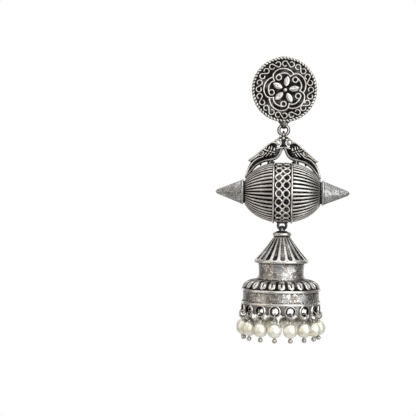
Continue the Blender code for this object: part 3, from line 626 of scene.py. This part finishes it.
# Lines of the crest's right half: shares of the barrel's half length across and of the crest's height up
FRAME_LINE = ((0.035, 0.775), (0.066, 0.735), (0.104, 0.672), (0.168, 0.618), (0.262, 0.582), (0.40, 0.562),
              (0.545, 0.538), (0.667, 0.495), (0.768, 0.44), (0.85, 0.372), (0.92, 0.31), (0.965, 0.27))
BODY_TOP = ((0.05, 0.79), (0.36, 0.77), (0.74, 0.60), (0.88, 0.50), (0.965, 0.37), (0.985, 0.29))
BODY_FOOT = ((0.08, 0.75), (0.175, 0.635), (0.40, 0.58), (0.667, 0.51), (0.86, 0.385), (0.965, 0.28))
WING_TOP = ((0.20, 0.852), (0.25, 0.868), (0.32, 0.868), (0.39, 0.838), (0.46, 0.797), (0.53, 0.757),
            (0.65, 0.692), (0.76, 0.627), (0.90, 0.556))
WING_FOOT = ((0.20, 0.74), (0.26, 0.665), (0.40, 0.598), (0.563, 0.603), (0.66, 0.612), (0.76, 0.570),
             (0.875, 0.520))
TAIL_LINE = ((0.55, 0.615), (0.70, 0.575), (0.82, 0.505), (0.905, 0.42), (0.955, 0.33), (0.985, 0.26))

# Feathers of a wing: where each raised stroke starts and ends, and its half width there, in millimetres
FEATHERS = (
    ((0.453, 0.785), (0.453, 0.770), 0.16, 0.17), ((0.366, 0.800), (0.385, 0.760), 0.14, 0.21),
    ((0.306, 0.800), (0.319, 0.748), 0.13, 0.23), ((0.238, 0.778), (0.242, 0.738), 0.12, 0.38),
    ((0.530, 0.752), (0.448, 0.727), 0.20, 0.16), ((0.403, 0.736), (0.424, 0.717), 0.15, 0.22),
    ((0.336, 0.719), (0.355, 0.709), 0.19, 0.26), ((0.298, 0.702), (0.226, 0.693), 0.22, 0.09),
    ((0.524, 0.692), (0.560, 0.672), 0.26, 0.14), ((0.452, 0.685), (0.556, 0.621), 0.21, 0.17),
    ((0.381, 0.682), (0.460, 0.622), 0.20, 0.11), ((0.320, 0.669), (0.368, 0.630), 0.18, 0.09),
)
WING_EYE = ((0.590, 0.718), (0.530, 0.700), (0.540, 0.664), (0.616, 0.641), (0.667, 0.664), (0.640, 0.697))


def body_marks(along, wide):
    """Faint barbs on the dark body and tail."""
    return 0.08 + 0.14 * smooth_step(0.3, 0.9, np.sin(95 * along + 3 * wide)) * smooth_step(0.45, 0.6, along)


def wing_marks(along, wide):
    """Dark at the shoulder and light towards the tip."""
    return 0.10 + 0.66 * smooth_step(0.58, 0.70, along) * smooth_step(-0.7, -0.4, wide)


def crest():
    """Two birds with their frame and tail wires, feathers and feet, and the loop with its flower."""
    parts = []
    for side in (1, -1):
        top = crest_path([(a, u - 0.006) for a, u in WING_TOP], side)
        # Painted highlight down the fronts of the wing's top edge, the frame wire and the tail wire, with
        # painted shade on their sides.
        parts += [
            lens(BODY_TOP, BODY_FOOT, side, 0.55, body_marks, rows=120, columns=24),
            lens(WING_TOP, WING_FOOT, side, 0.90, wing_marks, rows=70, columns=48),
            tube(top, (0.26, 0.32), 12, flat=3.2, highlight_round=broad_highlight),
            tube(crest_path(FRAME_LINE, side), 0.45, 18, flat=2.7, highlight_round=edge_highlight),
            tube(crest_path(TAIL_LINE, side), (0.24, 0.34), 12, flat=2.6, highlight_round=broad_highlight)]
        for depth in (-0.92, 0.92):
            parts += [
                tube(crest_path(WING_TOP, side, depth)[6:], 0.25, 12, polish_and_light=0.75),
                tube(crest_path(FRAME_LINE, side, depth), 0.30, 12, polish_and_light=0.42),
                tube(crest_path(TAIL_LINE, side, 0.80 * depth), (0.24, 0.32), 12, polish_and_light=0.62)]
        for depth in (-0.86, 0.86):
            for start, end, first, last in FEATHERS:
                line = crest_path((start, end), side, depth, 5)
                parts.append(tube(line, (first, last), 10, flat=1.1, polish_and_light=1.2))
            eye = smooth_path([crest_place(a, u, side, depth) for a, u in WING_EYE], 6, closed=True)
            parts += [
                tube(eye, 0.15, 10, closed=True, polish_and_light=0.9),
                bead(crest_place(0.600, 0.680, side, depth), (0.42, 0.16, 0.30), 16, 8, polish_and_light=0.40),
                bead(crest_place(0.245, 0.657, side, 0.8 * depth), (0.30, 0.2, 0.26), 14, 8, polish_and_light=0.30)]
        inner_tail = crest_path([(a - 0.035, u - 0.052) for a, u in TAIL_LINE[1:5]], side)
        parts.append(tube(inner_tail, 0.14, 10, flat=4.4, polish_and_light=0.22))
        for depth in (-0.75, 0.75):
            neck_line = crest_path(((0.02, 0.784), (0.09, 0.778), (0.18, 0.764)), side, 1.55 * depth)
            head = crest_place(0.150, 0.868, side, 1.12 * depth)
            eye = crest_place(0.158, 0.852, side, 1.12 * depth + math.copysign(0.42, depth))
            parts += [
                tube(neck_line, (0.19, 0.23), 12, flat=1.2, polish_and_light=1.0),
                bead(head, (0.80, 0.50, 0.80), 28, 18, polish_and_light=1.3),
                bead(eye, (0.19, 0.14, 0.20), 14, 10, polish_and_light=0.40)]
        plume = crest_path(((0.03, 0.955), (0.10, 0.928), (0.19, 0.888)), side)
        parts.append(tube(plume, (0.16, 0.22), 10, flat=3.0, polish_and_light=0.08))
        for depth in (-1.0, 1.0):
            bar = crest_path(((0.120, 0.957), (0.185, 0.924), (0.250, 0.884)), side, depth)
            parts.append(tube(bar, (0.20, 0.24), 10, polish_and_light=0.62))
        nape = crest_path(((0.14, 0.885), (0.20, 0.85), (0.21, 0.80), (0.17, 0.75), (0.17, 0.70)), side)
        parts.append(tube(nape, 0.50, 12, flat=1.7, polish_and_light=0.02))
        for across, wide in ((0.30, 0.50), (0.385, 0.34)):
            foot = crest_path(((across, 0.60), (across, 0.55), (across + 0.01, 0.497)), side)
            parts.append(tube(foot, wide, 12, flat=2.0, polish_and_light=0.18))
        knob = crest_path(((0.59, 0.545), (0.595, 0.51), (0.60, 0.476)), side)
        parts += [
            bead(crest_place(0.345, 0.54, side, 0.95), (0.22, 0.3, 0.22), 12, 8, polish_and_light=0.8),
            tube(knob, 0.30, 12, flat=2.2, polish_and_light=0.15),
            bead(crest_place(0.60, 0.497, side, 0.3), (0.42, 0.62, 0.34), 14, 10, polish_and_light=0.3)]
    chest = crest_path(((-0.05, 0.80), (0.0, 0.82), (0.05, 0.80)), 1)
    stem = smooth_path([(0.0, HANG, -21.1), (0.0, HANG, -22.2), (0.0, HANG, -23.4)], 5)
    flower_z = CREST_LOOP_Z - 0.95
    parts += [
        tube(chest, 0.62, 14, flat=1.5, polish_and_light=0.05),
        tube(stem, (0.40, 0.85), 14, flat=1.2, polish_and_light=0.05),
        ring((0.0, HANG, CREST_LOOP_Z), (1, 0, 0), 1.075, 0.375, 40, 14, polish_and_light=0.22),
        bead((0.0, HANG - 1.30, flower_z), (1.30, 0.20, 1.30), 24, 10, polish_and_light=-0.1),
        bead((0.0, HANG - 1.45, flower_z), (0.42, 0.32, 0.42), polish_and_light=1.3)]
    for k in range(6):
        across, up = polar(1.12, 60 * k)
        size, shine = (0.50, 0.15) if k == 3 else (0.37, 1.3)
        parts.append(bead((across, HANG - 1.42, flower_z + up), (size, 0.32, size), polish_and_light=shine))
    piece("peacock_crest_cast", parts, "drop", CAST, ["peacock_crest"], 60)


# Barrel

def barrel_crown(across):
    """Radius over the ribs; 0.41 of it is left at the ends."""
    return BARREL_RADIUS * np.sqrt(1.0 - (1.0 - 0.41**2) * (across / BARREL_HALF) ** 2)


def barrel_half(side):
    """Rounded ribs that close in towards the end."""
    across = np.linspace(3.2, BARREL_HALF, 28)[:, None]
    angle = turns(RIBS * 18)[None, :]
    pitch = angle * RIBS / (2 * np.pi) + 0.04 * np.sin(7 * angle + side)
    lane = np.abs(pitch - np.floor(pitch) - 0.5)
    half = 0.31 + 0.03 * np.sin(5 * angle + side)
    rib = np.sqrt(np.clip(1.0 - (lane / half) ** 3, 0.0, 1.0))
    crown = barrel_crown(across)
    depth = 0.50 * (0.35 + 0.65 * crown / BARREL_RADIUS)
    radius = crown - depth * (1.0 - rib)
    end = smooth_step(0.0, 0.35, BARREL_HALF - across)
    polish_and_light = smooth_step(0.62, 0.94, rib) * (0.35 + 0.65 * end)
    outer = barrel_place(radius, angle + 0 * across, side * across + 0 * angle)
    wall = 0.9
    inside = [(barrel_crown(back) - wall, side * back, 0.12) for back in across[::-1][::4]]
    return shell(outer, polish_and_light, inside, barrel_place, angle)


def band():
    """Two columns of touching raised rings, black between them, and a bright flange on each side."""
    pitch, power = 2.64, 1.65
    angle = turns(BAND_ROWS * 30)[None, :]
    across = np.linspace(-2.56, 2.56, 66)[:, None]
    shifted = (angle + math.radians(3.4)) / (2 * np.pi / BAND_ROWS)
    row = np.round(shifted)
    v = (shifted - row) * pitch
    height = np.zeros((across.shape[0], angle.shape[1]))
    spot = np.zeros_like(height)
    random = np.random.default_rng(5)
    jitter = random.uniform(-1.0, 1.0, (BAND_ROWS, 2, 4))
    order = np.mod(row, BAND_ROWS).astype(int)[0]
    for column, centre in ((0, -1.17), (1, 1.17)):
        for shift in (-1, 0, 1):
            which = np.mod(order + shift, BAND_ROWS)
            change = jitter[which, column]
            u = across - centre - 0.07 * change[None, :, 0]
            w = v - pitch * shift - 0.09 * change[None, :, 1]
            wide = 1.03 + 0.06 * change[None, :, 2]
            tall = 1.22 + 0.05 * change[None, :, 3]
            f = ((np.abs(u) / wide) ** power + (np.abs(w) / tall) ** power) ** (1 / power)
            slope = np.hypot(np.abs(u) / wide**2, np.abs(w) / tall**2) / np.maximum(f, 1e-6)
            near = np.abs(f - 1.0) / np.maximum(slope, 0.3)
            height = np.maximum(height, wire_height(near, half=0.285, foot=0.12, crown=0.38))
            base = np.where(f < 0.8, 0.07, 0.0)
            dot = np.exp(-(u**2 + w**2) / 0.03)
            height = np.maximum(height, base + 0.10 * dot * (f < 0.8))
            spot = np.maximum(spot, np.where(f < 0.85, 0.10 + 0.16 * dot, 0.0))
    polish_and_light = np.maximum(smooth_step(0.14, 0.30, height), spot)
    face = barrel_place(BAND_RADIUS + height, angle + 0 * across, across + 0 * angle)
    inside = ((BAND_RADIUS, 2.6, 0.0), (8.4, 2.7, 0.0), (8.4, -2.7, 0.0), (BAND_RADIUS, -2.6, 0.0))
    parts = [shell(face, polish_and_light, inside, barrel_place, angle)]
    for side in (-1, 1):
        flange = [(radius, side * at, shine) for radius, at, shine in (
            (8.5, 2.56, 0.0), (9.3, 2.56, 0.1), (9.5, 2.6, 0.8), (9.6, 2.72, 1.0),
            (9.6, 2.94, 1.0), (9.5, 3.06, 0.8), (9.25, 3.1, 0.15), (8.5, 3.1, 0.0))]
        parts.append(turned(flange, barrel_place, 220))
    parts.append(ring((0.0, HANG, BAND_EYE_Z), (0, 1, 0), 1.25, 0.43, 40, 16, polish_and_light=0.20))
    parts.append(bead((0.0, HANG, -46.95), (1.1, 0.35, 0.24), 16, 10, polish_and_light=0.15))
    for side in (-1, 1):
        path = smooth_path([(side * 1.35, HANG, -46.7), (side * 1.15, HANG, -47.1),
                            (side * 1.15, HANG, -47.5)], 5)
        parts.append(tube(path, (0.5, 0.34), 10, polish_and_light=0.2))
    return parts


def spike(side):
    """A plain cone with a rounded tip, on a collar and a bright flange."""
    start = BARREL_HALF + 0.1
    cone, length, foot, tip = start + 0.85, 8.1, 3.68, 0.53
    profile = [(0.01, start, 0.0), (3.35, start, 0.0), (3.45, start + 0.08, 0.1), (3.45, start + 0.42, 0.05),
               (3.80, start + 0.44, 0.6), (3.93, start + 0.50, 1.6), (3.95, start + 0.62, 1.6),
               (3.93, start + 0.78, 1.5), (3.74, cone, 0.1), (foot, cone + 0.10, 0.2)]
    for share in np.linspace(0.05, 0.93, 16):
        profile.append((foot - (foot - 0.52) * share, cone + length * share, 0.44))
    for turn in np.radians([25.0, 45.0, 62.0, 78.0]):
        profile.append((tip * math.cos(turn), cone + length - tip + tip * math.sin(turn), 0.50))
    profile.append((0.01, cone + length, 0.50))
    flipped = [(radius, side * at, shine) for radius, at, shine in profile]
    return [turned(flipped, barrel_place, 128, closed=False)]


def drop():
    crest()
    piece("barrel_left_cast", [barrel_half(-1)], "drop", RIBBED, ["barrel_left"], 70)
    piece("barrel_right_cast", [barrel_half(1)], "drop", RIBBED, ["barrel_right"], 70)
    piece("lattice_band_cast", band(), "drop", CAST, ["lattice_band"], 60)
    piece("spike_left_cast", spike(-1), "drop", SATIN, ["spike_left"], 50)
    piece("spike_right_cast", spike(1), "drop", SATIN, ["spike_right"], 50)


# Bell

def roof():
    """Hollow panels between light ribs, a scalloped lip below and a cap ring above."""
    down = np.linspace(0.0, 1.0, 64)[:, None]
    angle = turns(FLUTES * 28)[None, :]
    pitch, offset = 360 / FLUTES, 6
    lane = np.degrees(angle) / pitch + offset / pitch
    lane = lane - np.round(lane)
    gap = 0.5 - np.abs(lane)
    spread = down * (0.82 + 0.18 * down)
    radius = ROOF_TOP_RADIUS + spread * (ROOF_RADIUS - ROOF_TOP_RADIUS)
    foot = dome(np.clip(down - 0.86, 0.0, 1.0) / 0.09)
    half = 0.33 * smooth_step(0.0, 0.05, down) * foot
    share = gap / np.maximum(half, 1e-3)
    hollow = np.clip(1.0 - share**2, 0.0, 1.0) ** 0.8
    inside = smooth_step(1.04, 0.86, share) * (half > 0.01)
    low_end = smooth_step(0.70, 0.88, down)
    diamond = np.exp(-((lane / 0.13) ** 2)) * smooth_step(0.90, 0.97, down)
    shade = 0.26 + 0.10 * np.sin(3 * angle + 1.0) - 0.20 * low_end
    polish_and_light = inside * shade + (1.0 - inside) * (0.80 + 0.2 * low_end - 0.5 * diamond)
    points = bell_place(radius - 0.50 * (0.45 + 0.55 * spread) * hollow, angle + 0 * down,
                        ROOF_Z - ROOF_FALL * down + 0 * angle)
    wave = 0.03 * np.cos(FLUTES * (angle + math.radians(offset)))
    lip = ((8.44, -7.30, 1.0), (8.45, -7.46, 1.0), (8.40, -7.64, 0.95), (8.20, -7.80, 0.8))
    below = ((7.90, -7.93, 0.3), (6.75, -7.95, 0.1), (6.75, -7.2, 0.1), (4.4, -3.9, 0.1), (1.2, -0.9, 0.1))
    profile = [(reach + wave, ROOF_Z + at, shine) for reach, at, shine in lip]
    profile += [(reach, ROOF_Z + at, shine) for reach, at, shine in below]
    parts = [shell(points, polish_and_light, profile, bell_place, angle, closed=False)]
    cap = [(0.01, 0.02, 0.3), (1.3, 0.0, 0.4), (2.2, -0.06, 0.6), (2.70, -0.16, 0.9), (2.92, -0.42, 1.0),
           (2.94, -0.72, 1.0), (2.86, -1.05, 0.95), (2.6, -1.22, 0.3), (2.55, -1.35, 0.0), (2.62, -1.62, 0.0),
           (0.01, -1.7, 0.0)]
    parts.append(turned(cap, bell_place, 96, closed=False, start=CAP_Z))
    eye = ring((0.0, HANG, BELL_EYE_Z), (1, 0, 0), 1.15, 0.35, 40, 16)
    # Painted highlight: a bright stripe round the middle of the eye's strap, with painted shade towards its
    # sides.
    eye[2][:] = 0.04 + 0.40 * smooth_step(0.30, 0.05, np.abs(eye[0][:, 0]))
    eye[0][:, 0] *= 2.0 + 1.0 * smooth_step(-48.9, -49.6, eye[0][:, 2])
    parts.append(eye)
    collar = [(0.01, 0.03, 0.1), (0.95, 0.05, 0.1), (1.30, 0.34, 0.35), (1.52, 0.36, 0.5), (1.62, 0.26, 0.1),
              (1.80, 0.10, 0.2), (2.30, -0.04, 0.45), (0.01, -0.2, 0.3)]
    parts.append(turned(collar, bell_place, 64, closed=False, start=CAP_Z))
    return parts


def neck():
    """The waisted drum under the roof, darker at both ends."""
    rows = []
    for share in np.linspace(0.0, 1.0, 25):
        waist = 4 * share * (1 - share)
        line = math.exp(-((share - 0.52) / 0.03) ** 2)
        shine = 0.72 - 0.5 * math.exp(-share / 0.05) - 0.4 * math.exp(-(1 - share) / 0.05) + 0.12 * line
        flare = 0.42 * smooth_step(0.76, 1.0, share)
        rows.append((NECK_RADIUS - 0.20 * waist + 0.03 * line + flare, NECK_Z - 4.85 * share, shine))
    rows += [(6.65, NECK_FOOT_Z, 0.1), (6.46, NECK_Z - 2.4, 0.1), (6.65, NECK_Z, 0.1)]
    return [turned(rows, bell_place, 180)]


def shoulder(angle):
    """Points and polish of the drop-shaped petals, each with a dark slot, and black grooves between them."""
    down = np.linspace(0.0, 1.0, 48)[:, None]
    lane = (np.degrees(angle) - 1.0) / (360 / PETALS)
    lane = lane - np.round(lane)
    spread = np.interp(down, (0.0, 0.08, 0.2, 0.36, 0.55, 0.75, 1.0),
                       (0.26, 0.50, 0.68, 0.82, 0.92, 0.975, 1.0))
    radius = SHOULDER_TOP_RADIUS + spread * (SHOULDER_RADIUS - SHOULDER_TOP_RADIUS)
    foot = dome(np.clip(down - 0.70, 0.0, 1.0) / 0.24)
    wide = (0.36 + 0.05 * np.sin(np.pi * down)) * foot
    share = np.abs(lane) / np.maximum(wide, 1e-4)
    petal = dome(share) * (down < 0.92)
    slot = smooth_step(0.60, 0.2, np.abs(lane) / 0.20)
    slot = slot * smooth_step(0.14, 0.24, down) * smooth_step(0.74, 0.60, down)
    raised = petal - 0.62 * slot * petal
    sunk = 0.50 * (1.0 - raised) * smooth_step(0.0, 0.1, down) * smooth_step(1.0, 0.96, down)
    polish_and_light = smooth_step(0.30, 0.80, raised) * (0.90 + 0.10 * smooth_step(0.35, 0.80, down))
    polish_and_light = polish_and_light * smooth_step(1.0, 0.95, down)
    polish_and_light = np.maximum(polish_and_light, 0.5 * smooth_step(0.10, 0.02, down))
    points = bell_place(radius - sunk, angle + 0 * down, SKIRT_Z - 2.7 * down + 0 * angle)
    top = bell_place(6.66 + 0 * angle, angle, SKIRT_Z + 0 * angle)
    return np.concatenate([top, points]), np.concatenate([0 * angle + 0.2, polish_and_light])


def skirt():
    """The shoulder, both rims, the inside wall and the hoops with their webs."""
    angle = turns(PETALS * 28)[None, :]
    rim = ((11.9, 0.0, 0.1), (12.1, 0.1, 0.7), (12.19, 0.28, 1.0), (12.2, 0.46, 1.0), (12.19, 0.64, 1.0),
           (12.1, 0.82, 0.7), (11.85, 0.92, 0.1))
    upper, lower = ([(reach, top - down, shine) for reach, down, shine in rim]
                    for top in (UPPER_RIM_Z, LOWER_RIM_Z))
    profile = [*upper, (11.3, UPPER_RIM_Z - 0.93, 0.05), (11.3, LOWER_RIM_Z, 0.05), *lower,
               (11.25, SKIRT_FOOT_Z, 0.15), (11.2, SKIRT_FOOT_Z + 0.1, 0.12), (11.2, UPPER_RIM_Z, 0.12),
               (9.1, SKIRT_Z - 1.2, 0.12), (6.66, SKIRT_Z - 0.6, 0.12)]
    parts = [shell(*shoulder(angle), profile, bell_place, angle)]
    for turn in HOOP_TURNS:
        out = (math.sin(turn), -math.cos(turn), 0.0)
        centre = bell_place(HOOP_CIRCLE, turn, HOOP_Z)
        # Painted highlight on each hoop's outer half, with painted shade along its hole.
        parts.append(ring(centre, out, 1.43, 0.44, 40, 16, highlight_round=outside_highlight))
        # Black beads in the corners at each hoop's top: solder, and black as painted shade of the bell's
        # inside seen there.
        for side in (-1, 1):
            corner = bell_place(HOOP_CIRCLE, turn + side * 0.11, SKIRT_FOOT_Z - 0.25)
            parts.append(bead(corner, (0.34, 0.30, 0.46), 12, 8, polish_and_light=0.0))
        between = turn + math.pi / HOOPS
        out = (math.sin(between), -math.cos(between), 0.0)
        web = [bell_place(11.66, between, SKIRT_FOOT_Z + 0.2 - 2.2 * share)
               for share in np.linspace(0.0, 1.0, 8)]
        parts.append(tube(web, (1.25, 0.72), 14, flat=0.3, up=out, polish_and_light=0.36))
    return parts


def drum():
    """The plain wall between the rims, darker along both of its edges."""
    back = 11.32
    rows = [(back, UPPER_RIM_Z - 0.90, 0.0), (DRUM_RADIUS, UPPER_RIM_Z - 0.90, 0.0)]
    for share in np.linspace(0.02, 0.98, 18):
        shine = 0.74 - 0.7 * math.exp(-share / 0.07) - 0.7 * math.exp(-(1 - share) / 0.06)
        rows.append((DRUM_RADIUS, UPPER_RIM_Z - 0.93 - 2.95 * share, shine))
    rows += [(DRUM_RADIUS, LOWER_RIM_Z - 0.02, 0.0), (back, LOWER_RIM_Z - 0.02, 0.0)]
    return [turned(rows, bell_place, 180)]


def turned_about(points, pivot, tilt, twist):
    """Points swung about a pivot: two small tilts and a twist about the upright."""
    a, b = tilt
    swing = (np.array([[1, 0, 0], [0, math.cos(a), -math.sin(a)], [0, math.sin(a), math.cos(a)]])
             @ np.array([[math.cos(b), 0, math.sin(b)], [0, 1, 0], [-math.sin(b), 0, math.cos(b)]])
             @ np.array([[math.cos(twist), -math.sin(twist), 0],
                         [math.sin(twist), math.cos(twist), 0], [0, 0, 1]]))
    return (points - pivot) @ swing.T + pivot


def fringe():
    """A pearl on a ball-ended pin in each hoop, with a small seeded tilt."""
    random = np.random.default_rng(11)
    for number, turn in enumerate(HOOP_TURNS, start=1):
        axis = bell_place(HOOP_CIRCLE, turn, 0.0)
        pivot = axis + (0.0, 0.0, PIN_EYE_Z)
        tilt = np.radians(random.uniform(-2.0, 2.0, 2)) * (0.1, 1.0)
        twist = math.radians(random.uniform(-26, 26))
        normal = (math.cos(turn), math.sin(turn), 0.0)
        pearl = bead(axis + (0.0, 0.0, PEARL_Z), (2.20, 2.12, 2.20), 56, 36)
        down = np.abs(pearl[0] - axis - (0.0, 0.0, PEARL_Z))
        mouth = smooth_step(0.55, 0.40, np.hypot(down[:, 0], down[:, 1]))
        pearl[0][:, 2] -= np.sign(pearl[0][:, 2] - PEARL_Z) * 0.12 * mouth
        pearl = (turned_about(pearl[0], pivot, tilt, 0.0), pearl[1], pearl[2])
        node = f"pearl_{number:02d}"
        piece(f"{node}_coated", [pearl], "bell", PEARL, [node], 80)
        share = np.linspace(0.0, 1.0, 34)
        coil = 5 * np.pi * share
        coil = np.stack([0.40 * np.cos(coil), 0.40 * np.sin(coil), -0.50 * share - 0.12], axis=-1)
        stem = np.array([(0, 0, PIN_WRAP_Z + 0.1), (0, 0, PEARL_Z), (0, 0, PIN_BALL_Z + 0.5)]) + axis
        pin = [ring(pivot, normal, 1.13, 0.245, 44, 12, polish_and_light=0.52),
               tube(axis + (0.0, 0.0, PIN_WRAP_Z) + coil, 0.155, 8, up=(0.0, 0.0, 1.0), polish_and_light=0.75),
               tube(smooth_path(stem, 3), 0.25, 10, polish_and_light=0.7),
               bead(axis + (0.0, 0.0, PIN_BALL_Z), 0.74, 24, 16, polish_and_light=0.55)]
        pin = [(turned_about(points, pivot, tilt, twist), quads, marks) for points, quads, marks in pin]
        node = f"pearl_pin_{number:02d}"
        piece(f"{node}_wire", pin, "bell", BRIGHT, [node], 80)


def bell():
    piece("bell_roof_cast", roof(), "bell", FLUTED, ["bell_roof"], 60)
    piece("bell_neck_worn", neck(), "bell", WORN, ["bell_neck"], 50)
    piece("bell_skirt_cast", skirt(), "bell", CAST, ["bell_skirt"], 60)
    piece("bell_drum_worn", drum(), "bell", WORN, ["bell_skirt"], 50)
    fringe()


# Studio

# Lamps: colour, strength, sides (0 is at the camera, 90 on the right) and heights in degrees, softness
LAMPS = (
    ((1.00, 1.00, 1.00), 0.30, (-400, 400), (-200, 200), 5),
    ((0.97, 0.99, 1.00), 2.10, (17, 68), (-22, 60), 13),
    ((1.00, 0.91, 0.82), 0.95, (-92, -42), (-20, 50), 16),
    ((1.00, 1.00, 1.00), 1.25, (-400, 400), (52, 200), 14),
    ((1.00, 0.99, 0.97), 0.55, (-400, 400), (-200, -38), 14),
    ((1.00, 1.00, 1.00), 1.15, (-22, 14), (-8, 38), 9),
    ((1.00, 1.00, 1.00), 1.00, (144, 162), (-20, 50), 6),
    ((1.00, 1.00, 1.00), 1.00, (-162, -144), (-20, 50), 6),
)


def studio():
    """A white sweep that the camera sees, and soft lamps all round for the reflections."""
    world = bpy.data.worlds.new("studio")
    bpy.context.scene.world = world
    world.use_nodes = True
    tree = world.node_tree
    tree.nodes.clear()
    direction = add(tree, "ShaderNodeTexCoord").outputs["Generated"]
    x, y, z = add(tree, "ShaderNodeSeparateXYZ", {0: direction}).outputs
    turn = math_node(tree, "DEGREES", math_node(tree, "ARCTAN2", x, math_node(tree, "MULTIPLY", y, -1.0)))
    rise = math_node(tree, "DEGREES", math_node(tree, "ARCSINE", z))
    total = None
    for colour, strength, sides, heights, soft in LAMPS:
        window = None
        for value, at, low, high in ((turn, sides[0], 0.0, 1.0), (turn, sides[1], 1.0, 0.0),
                                     (rise, heights[0], 0.0, 1.0), (rise, heights[1], 1.0, 0.0)):
            edge = span(tree, value, at - soft, at + soft, low, high)
            window = edge if window is None else math_node(tree, "MULTIPLY", window, edge)
        glow = mix(tree, window, (0.0, 0.0, 0.0), tuple(strength * c for c in colour))
        if total is None:
            total = glow
        else:
            total = add(tree, "ShaderNodeVectorMath", {0: total, 1: glow}, operation="ADD").outputs[0]
    light = add(tree, "ShaderNodeBackground", {"Color": total})
    white = add(tree, "ShaderNodeBackground", {"Color": (1.0, 1.0, 1.0, 1.0)})
    seen = add(tree, "ShaderNodeLightPath").outputs["Is Camera Ray"]
    choose = add(tree, "ShaderNodeMixShader", {0: seen, 1: light.outputs[0], 2: white.outputs[0]})
    add(tree, "ShaderNodeOutputWorld", {0: choose.outputs[0]})
    bpy.context.scene.view_settings.view_transform = "Standard"
    bpy.context.scene.view_settings.look = "None"


def floor():
    """A pale floor under the hanging earring, as white as the sweep behind it."""
    mesh = bpy.data.meshes.new("floor")
    reach, low = 1.5, -0.16
    corners = [(-reach, -reach, low), (reach, -reach, low), (reach, reach, low), (-reach, reach, low)]
    mesh.from_pydata(corners, [], [(0, 1, 2, 3)])
    made = bpy.data.objects.new("floor", mesh)
    bpy.context.scene.collection.objects.link(made)
    values = {"Base Color": (0.0, 0.0, 0.0, 1.0), "Specular IOR Level": 0.0,
              "Emission Color": (1.0, 1.0, 1.0, 1.0), "Emission Strength": 1.0}
    mesh.materials.append(new_material("floor_white", values)[0])
    made.visible_glossy = False
    made.visible_diffuse = False


def camera():
    data = bpy.data.cameras.new("camera")
    data.sensor_width = SENSOR
    data.lens = SENSOR * CAMERA_DISTANCE / FRAME_WIDTH
    data.shift_x = FRAME_SHIFT
    made = bpy.data.objects.new("camera", data)
    bpy.context.scene.collection.objects.link(made)
    made.location = (0.0, -CAMERA_DISTANCE, CAMERA_HEIGHT)
    made.rotation_euler = (math.radians(90), math.radians(ROLL_DEGREES), 0.0)
    bpy.context.scene.camera = made


stud()
# Painted highlight down the jump ring's front and back, with painted shade on its sides.
link = ring((0.0, HANG, RING_Z), (0, 1, 0), 1.515, 0.5, 64, 24, highlight_round=face_highlight)
piece("jump_ring_wire", [link], "link", CAST, ["jump_ring"], 60)
drop()
bell()
studio()
floor()
camera()
